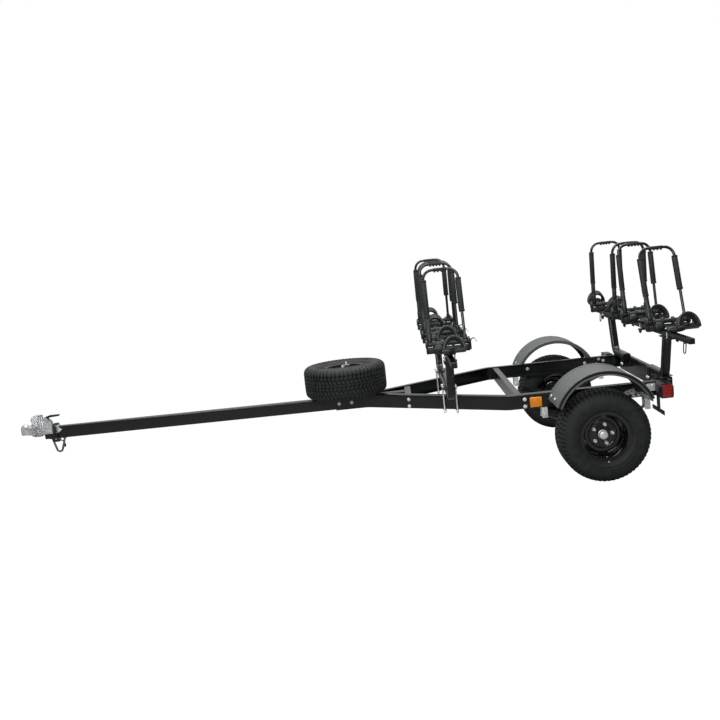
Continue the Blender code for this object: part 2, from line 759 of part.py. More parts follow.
def make_spare():
    rest_z = RAIL_TOP + CARRIER_LIFT + TYRE_WIDTH / 2
    centre = Vector((SPARE_X, 0, rest_z))
    lay = Matrix.Translation(centre) @ Matrix.Rotation(math.pi / 2, 4, "X")
    node(reshape(tyre_piece(), lay), "spare_tyre", "rubber", centre)
    node(reshape(rim_piece(), lay), "spare_rim", "black_paint", centre)

    disc_under = rest_z - DISC_WALL / 2 - FIT
    half = CARRIER_POST / 2
    base = RAIL_TOP + FIT
    post = box((SPARE_X - half, -half, base), (SPARE_X + half, half, disc_under - 0.003))
    foot = box((SPARE_X - 0.105, -TONGUE_WIDTH, base), (SPARE_X + 0.105, TONGUE_WIDTH, base + 0.006))
    head = box((SPARE_X - 0.062, -0.062, disc_under - 0.006), (SPARE_X + 0.062, 0.062, disc_under))
    hollow = box(
        (SPARE_X - half + 0.004, -half + 0.004, base - 0.01),
        (SPARE_X + half - 0.004, half - 0.004, disc_under - 0.012),
    )
    carrier = cut(joined(post, [foot, head]), [hollow])
    studs = []
    for x, y in [lug_places()[0], lug_places()[2], lug_places()[3]]:
        place = lay @ Vector((x, 0, y))
        over = place.z + DISC_WALL / 2 + FIT
        studs.append(rod((place.x, place.y, disc_under - WELD), (place.x, place.y, over + 0.02),
                         STUD_RADIUS, 6))
        studs.append(rod((place.x, place.y, over), (place.x, place.y, over + NUT_HEIGHT),
                         NUT_RADIUS, 6))
    node(joined(carrier, studs), "spare_carrier", "zinc")


def domed(radius, foot):
    """A post along Y with a half-round top, standing on its foot."""
    arc = [
        (radius * math.sin(a), radius * math.cos(a)) for a in [math.pi * i / 8 for i in range(5)]
    ]
    return turned_solid(arc + [(radius, foot), (0, foot)], 12)


def make_coupler():
    half = TONGUE_WIDTH / 2 + FIT + COUPLER_WALL
    outer_r = SOCKET_RADIUS + COUPLER_WALL
    plate_top = tongue_top + FIT + COUPLER_WALL
    dome = domed(outer_r, SOCKET_RIM_Z - SOCKET_Z)
    upright = Matrix.Translation((SOCKET_X, 0, SOCKET_Z)) @ Matrix.Rotation(math.pi / 2, 4, "X")
    dome = reshape(dome, upright)
    side = [
        (SOCKET_X, SOCKET_RIM_Z), (COUPLER_SIDE_FRONT_X, COUPLER_SIDE_BOTTOM),
        (COUPLER_SIDE_REAR_X - 0.03, COUPLER_SIDE_BOTTOM), (COUPLER_SIDE_REAR_X, 0.222),
        (COUPLER_SIDE_REAR_X - 0.03, plate_top), (COUPLER_SIDE_FRONT_X, plate_top),
        (SOCKET_X + 0.006, SOCKET_Z + 0.018), (SOCKET_X, SOCKET_Z + 0.018),
    ]
    channel = prism([(x, -half, z) for x, z in side], (0, 2 * half, 0))
    space_half = TONGUE_WIDTH / 2 + FIT
    space = prism(
        [(x, -space_half, z) for x, z in (
            (COUPLER_SIDE_FRONT_X - 0.02, COUPLER_SIDE_BOTTOM - 0.02),
            (COUPLER_SIDE_REAR_X + 0.02, COUPLER_SIDE_BOTTOM - 0.02),
            (COUPLER_SIDE_REAR_X + 0.02, tongue_top + FIT),
            (COUPLER_SIDE_FRONT_X - 0.02, tongue_top + FIT),
        )], (0, 2 * space_half, 0))
    ball = reshape(domed(SOCKET_RADIUS, -2 * SOCKET_RADIUS), upright)
    jaw_slot = box(
        (SOCKET_X, -JAW_WIDTH / 2 - JAW_SIDE_GAP, SOCKET_RIM_Z - 0.03),
        (COUPLER_SIDE_FRONT_X, JAW_WIDTH / 2 + JAW_SIDE_GAP, JAW_PIVOT_Z + 0.0115),
    )
    body = cut(joined(channel, [dome]), [space, ball, jaw_slot])
    pin = rod((JAW_PIVOT_X, -half + 0.001, JAW_PIVOT_Z), (JAW_PIVOT_X, half - 0.001, JAW_PIVOT_Z),
              JAW_PIN_RADIUS, 12)
    ear_y = LEVER_WIDTH / 2 + FIT
    ears = [
        prism([(x, min(s * ear_y, s * (ear_y + EAR_WALL)), z) for x, z in (
            (LEVER_PIVOT_X - 0.010, plate_top - WELD), (LEVER_PIVOT_X + 0.038, plate_top - WELD),
            (LEVER_PIVOT_X + 0.038, plate_top + 0.026), (LEVER_PIVOT_X + 0.008, LEVER_PIVOT_Z + 0.008),
            (LEVER_PIVOT_X - 0.008, LEVER_PIVOT_Z + 0.008))], (0, EAR_WALL, 0))
        for s in (-1, 1)
    ]
    lever_pin = rod((LEVER_PIVOT_X, -ear_y - 0.006, LEVER_PIVOT_Z),
                    (LEVER_PIVOT_X, ear_y + 0.006, LEVER_PIVOT_Z), LEVER_PIN_RADIUS, 10)
    heads = [
        bolt((x, s * half, tongue_top - COUPLER_BOLT_DROP), (0, s, 0))
        for x in COUPLER_BOLTS_X for s in (-1, 1)
    ]
    body = joined(body, [pin] + ears + [lever_pin] + heads)
    node(body, "coupler_body", "zinc")

    bore = rod((JAW_PIVOT_X, -0.05, JAW_PIVOT_Z), (JAW_PIVOT_X, 0.05, JAW_PIVOT_Z),
               (JAW_PIN_RADIUS + RUNNING) / math.cos(math.pi / 16), 16)
    arc = [math.pi * i / 12 for i in range(13)]
    clear_ball = turned_solid(
        [(HITCH_BALL_RADIUS * math.sin(a), HITCH_BALL_RADIUS * math.cos(a)) for a in arc], 20
    )
    clear_ball = shifted(clear_ball, (SOCKET_X, 0, SOCKET_Z))
    jaw_side = [
        (JAW_PIVOT_X + 0.0075, JAW_PIVOT_Z + 0.007), (JAW_PIVOT_X - 0.010, JAW_PIVOT_Z + 0.007),
        (SOCKET_X + 0.019, SOCKET_RIM_Z + 0.006), (SOCKET_X + 0.019, SOCKET_RIM_Z + 0.001),
        (JAW_PIVOT_X - 0.004, SOCKET_RIM_Z + 0.001), (JAW_PIVOT_X + 0.0075, JAW_PIVOT_Z - 0.007),
    ]
    jaw = prism([(x, -JAW_WIDTH / 2, z) for x, z in jaw_side], (0, JAW_WIDTH, 0))
    jaw = cut(jaw, [clear_ball, bore])
    node(jaw, "coupler_jaw", "zinc", (JAW_PIVOT_X, 0, JAW_PIVOT_Z))

    bore = rod((LEVER_PIVOT_X, -0.05, LEVER_PIVOT_Z), (LEVER_PIVOT_X, 0.05, LEVER_PIVOT_Z),
               (LEVER_PIN_RADIUS + RUNNING) / math.cos(math.pi / 12), 12)
    lever_side = [
        (LEVER_PIVOT_X - 0.007, LEVER_PIVOT_Z - 0.006), (LEVER_PIVOT_X + 0.007, LEVER_PIVOT_Z - 0.006),
        (LEVER_PIVOT_X + 0.030, LEVER_PIVOT_Z + 0.006), (LEVER_GRIP_REAR_X, LEVER_GRIP_LOW_Z),
        (LEVER_GRIP_REAR_X, LEVER_GRIP_HIGH_Z), (LEVER_PIVOT_X + 0.028, LEVER_GRIP_HIGH_Z),
        (LEVER_PIVOT_X, LEVER_GRIP_LOW_Z),
        (LEVER_PIVOT_X - 0.007, LEVER_PIVOT_Z + 0.005),
    ]
    lever = prism([(x, -LEVER_WIDTH / 2, z) for x, z in lever_side], (0, LEVER_WIDTH, 0))
    node(cut(lever, [bore]), "coupler_lever", "black_plastic", (LEVER_PIVOT_X, 0, LEVER_PIVOT_Z))


def make_stand():
    top = tongue_bottom - FIT
    front = Vector((STAND_FRONT_X, 0, top))
    rear = Vector((STAND_REAR_X, 0, top))
    centre = Vector((STAND_BEND_X, 0, STAND_BEND_Z))

    def touch(start, turn):
        away = start - centre
        lean = math.acos(STAND_BEND_RADIUS / away.length)
        return Matrix.Rotation(turn * lean, 3, "Y") @ away.normalized() * STAND_BEND_RADIUS

    first = touch(front, -1)
    last = touch(rear, 1)
    start = math.atan2(first.z, first.x) + 2 * math.pi
    end = math.atan2(last.z, last.x) + 2 * math.pi
    arc = [
        centre + STAND_BEND_RADIUS * Vector((math.cos(a), 0, math.sin(a)))
        for a in [start + (end - start) * i / 4 for i in range(5)]
    ]
    stand = sweep(round_outline(STAND_RADIUS, 8, math.pi / 8), [front] + arc + [rear], (0, 1, 0))
    foot = [
        box((x - 0.014, -0.012, top - 0.004), (x + 0.014, 0.012, top))
        for x in (STAND_FRONT_X, STAND_REAR_X)
    ]
    above = box((STAND_FRONT_X - 0.05, -0.05, top), (STAND_REAR_X + 0.05, 0.05, top + 0.03))
    node(cut(joined(stand, foot), [above]), "tongue_stand", "zinc")


def least_self_gap(points, radius):
    """Least gap of a round cord to itself, between points that lie well apart along it."""
    path = [Vector(p) for p in points]
    fine = [a.lerp(b, i / 4) for a, b in zip(path, path[1:]) for i in range(4)]
    along = [0.0]
    for a, b in zip(fine, fine[1:]):
        along.append(along[-1] + (b - a).length)
    return min(
        (fine[i] - fine[j]).length - 2 * radius
        for i in range(len(fine)) for j in range(i) if along[i] - along[j] > 8 * radius
    )


def loops(name, radius, sides, start_x, pitch_x, turns, each, half_width, low, high, tail_in,
          tail_out, finish):
    """A cord wound round the coupler: squarish turns of one unbroken tube, with a tail at each end."""
    middle = (low + high) / 2
    tall = (high - low) / 2
    power = 2 / LOOP_SQUARENESS
    points = []
    for i in range(turns * each + 1):
        a = -math.pi / 2 + 2 * math.pi * i / each
        c, s = math.cos(a), math.sin(a)
        y = half_width * math.copysign(abs(c) ** power, c)
        z = middle + tall * math.copysign(abs(s) ** power, s)
        points.append((start_x + pitch_x * i / each, y, z))
    points = tail_in + points + tail_out
    print(f"{name}: least gap to itself {least_self_gap(points, radius) * 1000:.2f} mm")
    curve = bpy.data.curves.new(name, "CURVE")
    curve.dimensions = "3D"
    curve.bevel_depth = radius
    curve.bevel_resolution = (sides - 4) // 2
    curve.use_fill_caps = True
    spline = curve.splines.new("POLY")
    spline.points.add(len(points) - 1)
    for point, place in zip(spline.points, points):
        point.co = (*place, 1)
    obj = bpy.data.objects.new(name, curve)
    bpy.context.scene.collection.objects.link(obj)
    colour, roughness, metallic = FINISHES[finish]
    curve.materials.append(material(name, colour, roughness, metallic))
    obj.parent = trailer
    return obj


def make_wound_pieces():
    under = COUPLER_SIDE_BOTTOM - CHAIN_RADIUS - CHAIN_REST_GAP
    tail_in = [(CHAIN_START_X - 0.012, -0.020, under + 0.004), (CHAIN_START_X - 0.006, -0.010, under)]
    end_x = CHAIN_START_X + CHAIN_PITCH * CHAIN_TURNS
    tail_out = [(end_x + 0.006, 0.010, under), (end_x + 0.012, 0.020, under + 0.004)]
    loops("safety_chain", CHAIN_RADIUS, 4, CHAIN_START_X, CHAIN_PITCH, CHAIN_TURNS,
          CHAIN_LOOP_POINTS, CHAIN_HALF_WIDTH, under, CHAIN_TOP_Z, tail_in, tail_out, "zinc")

    under = LEAD_BOTTOM_Z
    exit_z = tongue_bottom - FIT
    first = LEAD_START_X - LEAD_PITCH
    tail_in = [
        (first, -0.0190, exit_z), (first, -0.0190, exit_z - 0.0050),
        (first, -0.0185, under + 0.0095), (first + 0.001, -0.0165, under + 0.0045),
        (first + 0.003, -0.0120, under + 0.0010), (first + 0.006, -0.0060, under),
    ]
    end_x = LEAD_START_X + LEAD_PITCH * LEAD_TURNS
    tail_out = [
        (end_x + 0.001, 0.008, under - 0.0005), (end_x + 0.002, 0.020, under - 0.0030),
        (end_x + 0.002, 0.034, under - 0.0070), (end_x + 0.002, 0.044, under - 0.0150),
        (end_x + 0.002, 0.049, under - 0.0260),
    ]
    loops("wiring_lead", LEAD_RADIUS, 6, LEAD_START_X, LEAD_PITCH, LEAD_TURNS,
          LEAD_LOOP_POINTS, LEAD_HALF_WIDTH, LEAD_BOTTOM_Z, LEAD_TOP_Z, tail_in, tail_out, "cable")
    tip = Vector(tail_out[-1])
    away = (tip - Vector(tail_out[-2])).normalized()
    frame = away.to_track_quat("Z", "X").to_matrix()
    start = tip + away * FIT
    plug = prism(
        [start + frame @ Vector((a, b, 0)) for a, b in round_box_outline(0.016, 0.009, 0.003)],
        away * 0.030,
    )
    node(plug, "wiring_plug", "cable")


def post_path(bottom, top, inner_y):
    """A riser's centre line on the right side: inward foot, bend and splayed post."""
    corner_y = riser_y(bottom)
    corner = (0, corner_y, bottom)
    head = (0, riser_y(top), top)
    foot = (0, inner_y, bottom)
    return [Vector(foot)] + bend(corner, foot, head, RISER_BEND) + [Vector(head)]


def make_risers():
    outline = round_box_outline(RISER_TUBE, RISER_TUBE, RISER_CORNER)
    inner = round_box_outline(
        RISER_TUBE - 2 * RISER_WALL, RISER_TUBE - 2 * RISER_WALL, RISER_CORNER - RISER_WALL
    )
    leg_z = RAIL_TOP + FIT + RISER_TUBE / 2
    head_z = CROSSBAR_Z - CROSSBAR / 2 - FIT - SADDLE_PLATE
    plate_half = 0.050

    def level_head(riser, sign, x):
        """Cuts the post level under its saddle plate and adds the plate with its bolts."""
        y = sign * riser_y(head_z)
        riser = cut(riser, [box((x - 0.1, y - 0.1, head_z), (x + 0.1, y + 0.1, head_z + 0.1))])
        plate = box(
            (x - 0.030, y - plate_half, head_z - WELD),
            (x + 0.030, y + plate_half, head_z + SADDLE_PLATE),
        )
        hole = box((x - 0.014, y - 0.014, head_z - 0.01), (x + 0.014, y + 0.014, head_z + 0.01))
        plate = cut(plate, [hole])
        heads = [
            bolt((x, y + side * (plate_half - 0.011), head_z - WELD), (0, 0, -1)) for side in (-1, 1)
        ]
        return joined(riser, [plate] + heads)

    for side, sign in SIDES.items():
        path = post_path(leg_z, head_z + RISER_TUBE, REAR_FOOT_INNER_Y)
        path = [p + Vector((REAR_RISER_X, 0, 0)) for p in path]
        riser = sweep(outline, path, (1, 0, 0), inner)
        riser = level_head(riser, 1, REAR_RISER_X)
        front = REAR_RISER_X - RISER_TUBE / 2
        rear = RAIL_REAR_X
        y0, y1 = REAR_FOOT_INNER_Y + 0.004, REAR_FOOT_INNER_Y + 0.062
        arch_top = RAIL_TOP + RISER_TUBE - 0.006
        saddle = box((front - SADDLE_PLATE, y0, RAIL_TOP - 0.046), (front + 0.001, y1, arch_top))
        seat = box((front - SADDLE_PLATE, y0, RAIL_TOP - 0.046), (rear, y1, RAIL_TOP - 0.041))
        back = box((rear - SADDLE_PLATE, y0, RAIL_TOP - 0.046), (rear, y1, RAIL_TOP + 0.004))
        heads = [
            bolt((front - SADDLE_PLATE, y, z), (-1, 0, 0))
            for y, z in ((y0 + 0.015, RAIL_TOP - 0.025), (y1 - 0.015, RAIL_TOP - 0.025))
        ]
        riser = joined(riser, [saddle, seat, back] + heads)
        node(to_side(riser, sign), f"riser_rear_{side}", "black_paint")

    path = post_path(leg_z, head_z + RISER_TUBE, 0)[1:]
    mirrored = [Vector((0, -p.y, p.z)) for p in reversed(path)]
    path = [p + Vector((FRONT_RISER_X, 0, 0)) for p in mirrored + path]
    riser = sweep(outline, path, (1, 0, 0), inner)
    for sign in SIDES.values():
        riser = level_head(riser, sign, FRONT_RISER_X)
        top = leg_z + RISER_TUBE / 2
        half_x = RISER_TUBE / 2 + 0.022
        beside = BOLT_RADIUS + 0.004
        places = []
        for end in (-1, 1):
            x = FRONT_RISER_X + end * (half_x - 0.008)
            places.append((x, rail_y(x) + beside))
            places.append((x, rail_y(x) - RAIL_FLANGE / math.cos(splay) - beside))
        near = min(y for x, y in places) - 0.010
        far = max(y for x, y in places) + 0.010
        ys = (sign * near, sign * far)
        over = box(
            (FRONT_RISER_X - half_x, min(ys), top - 0.001), (FRONT_RISER_X + half_x, max(ys), top + 0.006)
        )
        under = box(
            (FRONT_RISER_X - half_x, min(ys), rail_bottom - FIT - 0.006),
            (FRONT_RISER_X + half_x, max(ys), rail_bottom - FIT),
        )
        bolts = [
            rod((x, sign * y, rail_bottom - FIT - 0.018), (x, sign * y, top + 0.012), BOLT_RADIUS, 4)
            for x, y in places
        ]
        riser = joined(riser, [over, bolts[0], under] + bolts[1:])
    node(riser, "riser_front", "black_paint")


def make_crossbars():
    outline = round_box_outline(CROSSBAR, CROSSBAR, 0.004)
    inner = round_box_outline(
        CROSSBAR - 2 * CROSSBAR_WALL, CROSSBAR - 2 * CROSSBAR_WALL, 0.004 - CROSSBAR_WALL
    )
    sleeve_z = CROSSBAR_Z - CROSSBAR / 2 - TIE_SLEEVE_RADIUS + 0.001
    bore = (TIE_RADIUS + RUNNING) / math.cos(math.pi / 8)
    for place, x in (("front", FRONT_RISER_X), ("rear", REAR_RISER_X)):
        path = [(x, -CROSSBAR_LENGTH / 2, CROSSBAR_Z), (x, CROSSBAR_LENGTH / 2, CROSSBAR_Z)]
        bar = sweep(outline, path, (0, 0, 1), inner)
        for side, sign in SIDES.items():
            y = sign * tie_y
            half = TIE_HALF_WIDTH - 0.008
            sleeve = rod((x, y - half, sleeve_z), (x, y + half, sleeve_z), TIE_SLEEVE_RADIUS, 8)
            hole = rod((x, y - half - 0.01, sleeve_z), (x, y + half + 0.01, sleeve_z), bore, 8)
            bar = cut(joined(bar, [sleeve]), [hole])
            ring_path = [
                Vector((x, y - TIE_HALF_WIDTH + 0.006, sleeve_z)),
                Vector((x, y - TIE_HALF_WIDTH, sleeve_z - 0.006)),
                Vector((x, y - TIE_HALF_WIDTH, sleeve_z - TIE_DROP + TIE_HALF_WIDTH)),
            ]
            for i in range(1, 6):
                a = math.pi + math.pi * i / 6
                ring_path.append(Vector((
                    x, y + TIE_HALF_WIDTH * math.cos(a),
                    sleeve_z - TIE_DROP + TIE_HALF_WIDTH + TIE_HALF_WIDTH * math.sin(a))))
            ring_path += [
                Vector((x, y + TIE_HALF_WIDTH, sleeve_z - TIE_DROP + TIE_HALF_WIDTH)),
                Vector((x, y + TIE_HALF_WIDTH, sleeve_z - 0.006)),
                Vector((x, y + TIE_HALF_WIDTH - 0.006, sleeve_z)),
            ]
            top = Vector((x, y, sleeve_z))
            plumb = Matrix.Rotation(pitch, 4, "Y")
            ring = shifted(closed_ring(ring_path, TIE_RADIUS), -top)
            ring = shifted(reshape(ring, plumb), top)
            node(ring, f"tie_ring_{place}_{side}", "zinc", top)
        node(bar, f"crossbar_{place}", "black_paint")


def closed_ring(path, radius, sides=6):
    """A round rod along a closed loop in a plane across the trailer."""
    bm = bmesh.new()
    side = Vector((1, 0, 0))
    count = len(path)
    rows = []
    for i, point in enumerate(path):
        before = (point - path[i - 1]).normalized()
        after = (path[(i + 1) % count] - point).normalized()
        tangent = (before + after).normalized()
        across = tangent.cross(side) / tangent.dot(before)
        rows.append([bm.verts.new(point + a * side + b * across)
                     for a, b in round_outline(radius, sides, math.pi / sides)])
    for i in range(count):
        near, far = rows[i], rows[(i + 1) % count]
        for j in range(sides):
            k = (j + 1) % sides
            bm.faces.new([near[j], near[k], far[k], far[j]])
    return as_object(bm)


def cradle_frame(x, foot_y, out, tilt):
    """The tall folding hoop: two legs, a top bar, grip sleeves and pivot barrels."""
    lean = Vector((0, -out * math.sin(tilt), math.cos(tilt)))
    foot = Vector((x, foot_y, cradle_pivot_z))
    across = Vector((LEG_SPACING / 2, 0, 0))
    low_a, low_b = foot - across, foot + across
    top_a, top_b = low_a + lean * HOOP_LENGTH, low_b + lean * HOOP_LENGTH
    path = [low_a] + bend(top_a, low_a, top_b, LEG_BEND) + bend(top_b, top_a, low_b, LEG_BEND)
    path.append(low_b)
    side = lean.cross(Vector((1, 0, 0)))
    frame = sweep(round_outline(LEG_RADIUS, 6), path, side)
    sleeve_top = HOOP_LENGTH - LEG_BEND - 0.004
    for low in (low_a, low_b):
        sleeve = rod(low + lean * (sleeve_top - SLEEVE_LENGTH), low + lean * sleeve_top,
                     SLEEVE_RADIUS, 6)
        half = Vector((BARREL_LENGTH / 2, 0, 0))
        barrel = rod(low - half, low + half, BARREL_RADIUS, 8)
        bore = rod(low - half * 2, low + half * 2,
                   (PIVOT_RADIUS + RUNNING) / math.cos(math.pi / 8), 8)
        frame = cut(joined(frame, [sleeve, barrel]), [bore])
    middle = (top_a + top_b) / 2
    grip = box((-GRIP_LENGTH / 2, -GRIP_WIDTH / 2, -GRIP_DEPTH), (GRIP_LENGTH / 2, GRIP_WIDTH / 2, 0.009))
    tip = Matrix.Rotation(out * tilt, 4, "X")
    return joined(frame, [reshape(grip, Matrix.Translation(middle) @ tip)])


def cradle_base(x, foot_y, out):
    """Clamp block, hinge drums, outboard arm and arched pad of one cradle, not yet joined."""
    bar_top = CROSSBAR_Z + CROSSBAR / 2 + FIT
    low, high = bar_top, bar_top + BLOCK_RISE

    def span(a, b):
        return min(foot_y + out * a, foot_y + out * b), max(foot_y + out * a, foot_y + out * b)

    y0, y1 = span(-BLOCK_BACK, BASE_BLOCK_LENGTH - BLOCK_BACK)
    base = box((x - BLOCK_HALF_WIDTH, y0, low), (x + BLOCK_HALF_WIDTH, y1, high))
    y0, y1 = span(-0.020, 0.020)
    beam_half = LEG_SPACING / 2 + BARREL_LENGTH / 2 + FIT + DRUM_WIDTH
    beam = box((x - beam_half, y0, low + 0.004), (x + beam_half, y1, cradle_pivot_z - 0.020))
    pieces = [beam]
    near_x, far_x = (x + out * reach for reach in HOUSING_SPAN)
    housing_z = cradle_pivot_z - HOUSING_DROP
    housing = rod((near_x, foot_y, housing_z), (far_x, foot_y, housing_z), HOUSING_RADIUS, 8)
    pieces.append(housing)
    inside = LEG_SPACING / 2 - BARREL_LENGTH / 2 - FIT
    outside = LEG_SPACING / 2 + BARREL_LENGTH / 2 + FIT
    pivot = Vector((x, foot_y, cradle_pivot_z))
    for leg in (-1, 1):
        near = pivot + Vector((leg * outside, 0, 0))
        far = pivot + Vector((leg * (outside + DRUM_WIDTH), 0, 0))
        pieces.append(rod(near, far, DRUM_RADIUS, 6))
        pin_in = pivot + Vector((leg * inside, 0, 0))
        pin_out = near + Vector((leg * WELD, 0, 0))
        pieces.append(rod(pin_in, pin_out, PIVOT_RADIUS, 6))
    arm = [(0.02, high - 0.012), (0.10, high - 0.010), (0.17, high - 0.004), (PAD_TURN_X, high + 0.010),
           (ARM_REACH, high + 0.010 + PAD_END_RISE)]
    path = [(x, foot_y + out * a, z) for a, z in arm]
    edge, face = ARM_WIDTH / 2, ARM_WALL / 2
    outline = [(edge, face), (-edge, face), (-edge, -face), (edge, -face)]
    pieces.append(sweep(outline, path, (1, 0, 0)))
    tilt = math.atan2(PAD_END_RISE, ARM_REACH - PAD_TURN_X)
    up = Vector((0, -out * math.sin(tilt), math.cos(tilt)))
    outward = Vector((0, out * math.cos(tilt), math.sin(tilt)))
    seat = Vector((x - out * PAD_SHIFT, foot_y + out * (ARM_REACH - PAD_WIDTH / 2), high + 0.024))
    arch = []
    half = PAD_HALF_LENGTH - WELD
    for radius_x, radius_z in ((half, PAD_RISE), (half - PAD_WALL, PAD_RISE - PAD_WALL)):
        row = [
            (radius_x * math.cos(math.pi * i / 6), radius_z * math.sin(math.pi * i / 6))
            for i in range(7)
        ]
        arch += row if not arch else row[::-1]
    arch_width = PAD_WIDTH - 2 * WELD
    corners = [seat + Vector((a, 0, 0)) + up * b - outward * arch_width / 2 for a, b in arch]
    pieces.append(prism(corners, outward * arch_width))
    strip = [
        (-PAD_HALF_LENGTH, -0.008), (PAD_HALF_LENGTH, -0.008), (PAD_HALF_LENGTH, 0.006),
        (-PAD_HALF_LENGTH, 0.006),
    ]
    corners = [seat + Vector((a, 0, 0)) + up * b - outward * PAD_WIDTH / 2 for a, b in strip]
    pieces.append(prism(corners, outward * PAD_WIDTH))
    return [base] + pieces


def make_cradles():
    for place, x in (("front", FRONT_RISER_X), ("rear", REAR_RISER_X)):
        bases = {}
        for name, (foot_y, out, tilt) in CRADLES.items():
            bases[name] = cradle_base(x, foot_y, out)
            node(cradle_frame(x, foot_y, out, tilt), f"cradle_frame_{place}_{name}", "black_paint",
                 (x, foot_y, cradle_pivot_z))
        # The two middle cradles stand back to back on one clamp block.
        low_y = CRADLES["middle_left"][0] + BLOCK_BACK - WELD
        high_y = CRADLES["middle_right"][0] - BLOCK_BACK + WELD
        bar_top = CROSSBAR_Z + CROSSBAR / 2 + FIT
        half = BLOCK_HALF_WIDTH - BRIDGE_STEP
        bridge = box((x - half, low_y, bar_top + BRIDGE_STEP),
                     (x + half, high_y, bar_top + BLOCK_RISE - BRIDGE_STEP))
        first, second = bases.pop("middle_left"), bases.pop("middle_right")
        bases["middle"] = [first[0], bridge, second[0]] + first[1:] + second[1:]
        for name, pieces in bases.items():
            node(joined(pieces[0], pieces[1:]), f"cradle_base_{place}_{name}", "black_plastic")


def make_fenders():
    inner_y = half_frame + FIT
    start = math.asin((FENDER_END_Z - FENDER_CENTRE_Z) / FENDER_RADIUS)
    wall = FENDER_WALL
    section = [
        (inner_y, FENDER_SKIRT), (inner_y, 0), (fender_outer_y - 0.007, 0),
        (fender_outer_y, 0.007), (fender_outer_y, FENDER_LIP), (fender_outer_y - wall, FENDER_LIP),
        (fender_outer_y - wall, 0.008), (fender_outer_y - 0.008, wall), (inner_y + wall, wall),
        (inner_y + wall, FENDER_SKIRT),
    ]
    angles = [
        start + (math.pi - 2 * start) * i / FENDER_STEPS for i in range(FENDER_STEPS + 1)
    ]
    for side, sign in SIDES.items():
        bm = bmesh.new()
        rows = [
            [bm.verts.new(((FENDER_RADIUS - d) * math.cos(a), y,
                           FENDER_CENTRE_Z + (FENDER_RADIUS - d) * math.sin(a)))
             for y, d in section]
            for a in angles
        ]
        for near, far in zip(rows, rows[1:]):
            for j in range(len(section)):
                k = (j + 1) % len(section)
                bm.faces.new([near[j], near[k], far[k], far[j]])
        bm.faces.new(rows[0])
        bm.faces.new(rows[-1])
        fender = as_object(bm)
        tab = box((-0.262, inner_y, 0.184), (-0.214, inner_y + wall, 0.232))
        heads = [
            bolt((x, inner_y + wall, z), (0, 1, 0)) for x, z in FENDER_BOLTS
        ]
        node(to_side(joined(fender, [tab] + heads), sign), f"fender_{side}", "black_plastic")

        end_x = (FENDER_RADIUS - wall) * math.cos(start) - 0.001
        top = FENDER_CENTRE_Z + (FENDER_RADIUS - FENDER_SKIRT) * math.sin(start) - FIT
        arm = box((end_x - BRACE_WIDTH, inner_y, top - BRACE_WALL), (end_x, fender_outer_y - 0.03, top))
        tab = box((end_x - BRACE_WIDTH, inner_y, top - 0.034), (end_x, inner_y + BRACE_WALL, top))
        lip = box((end_x - BRACE_WALL, inner_y + 0.012, top - 0.014),
                  (end_x, fender_outer_y - 0.03, top - 0.001))
        slots = [
            box((end_x - BRACE_WIDTH / 2 - 0.004, y - 0.010, top - 0.02),
                (end_x - BRACE_WIDTH / 2 + 0.004, y + 0.010, top + 0.02))
            for y in [inner_y + 0.045 + 0.050 * i for i in range(4)]
        ]
        brace = cut(joined(arm, [tab, lip]), slots)
        brace = joined(brace, [bolt((end_x - BRACE_WIDTH / 2, inner_y + BRACE_WALL, top - 0.020),
                                    (0, 1, 0))])
        node(to_side(brace, sign), f"fender_brace_{side}", "zinc")


def make_lights():
    face = half_frame + FIT
    for side, sign in SIDES.items():
        low_z = tongue_centre_z - MARKER_DROP - MARKER_HEIGHT / 2
        marker = box(
            (MARKER_X - MARKER_LENGTH / 2, face, low_z),
            (MARKER_X + MARKER_LENGTH / 2, face + MARKER_DEPTH, low_z + MARKER_HEIGHT),
        )
        soften(marker, 0.003)
        node(to_side(marker, sign), f"side_marker_{side}", "amber_lens")

        inner = face + TAIL_STANDOFF
        outer = inner + TAIL_WIDTH
        back, skin = TAIL_REAR_X - LENS_DEPTH, outer - LENS_DEPTH
        lens_low, lens_high = TAIL_BOTTOM_Z + LENS_INSET / 2, TAIL_TOP_Z - LENS_INSET
        housing = box((TAIL_FRONT_X, inner, TAIL_BOTTOM_Z), (back, skin, TAIL_TOP_Z))
        rear_lens = box((back - WELD, inner + LENS_INSET, lens_low),
                        (TAIL_REAR_X, skin - LENS_INSET, lens_high))
        side_lens = box((TAIL_FRONT_X + LENS_INSET, skin - WELD, lens_low),
                        (back - LENS_INSET / 2, outer, lens_high))
        block = box((TAIL_FRONT_X + 0.004, face, rail_bottom + 0.012),
                    (TAIL_FRONT_X + 0.034, inner + WELD, RAIL_TOP - 0.012))
        plate = box((TAIL_FRONT_X - TAIL_PLATE_REACH, face, rail_bottom + 0.030),
                    (TAIL_FRONT_X + 0.030, face + TAIL_PLATE_WALL, RAIL_TOP - 0.010))
        light = joined(housing, [rear_lens, side_lens, block, plate])
        if side == "left":
            light = joined(light, [plate_bracket((inner + outer) / 2)])
        node(to_side(light, sign), f"tail_light_{side}", "red_lens")


def plate_bracket(mid_y):
    """A strip down from the lamp with a bar that a number plate bolts to."""
    front = TAIL_FRONT_X - 0.006
    bottom = TAIL_BOTTOM_Z - PLATE_DROP
    strip = box((front, mid_y - 0.020, bottom), (front + 0.008, mid_y + 0.020, TAIL_BOTTOM_Z + 0.040))
    bar = box((front, mid_y - PLATE_LENGTH / 2, bottom),
              (front + 0.004, mid_y + PLATE_LENGTH / 2, bottom + PLATE_HEIGHT))
    return joined(strip, [bar])


def soften(obj, width):
    bevel = obj.modifiers.new("edges", "BEVEL")
    bevel.width = width
    bevel.segments = 1
    bevel.limit_method = "ANGLE"
    return obj


clear_scene()

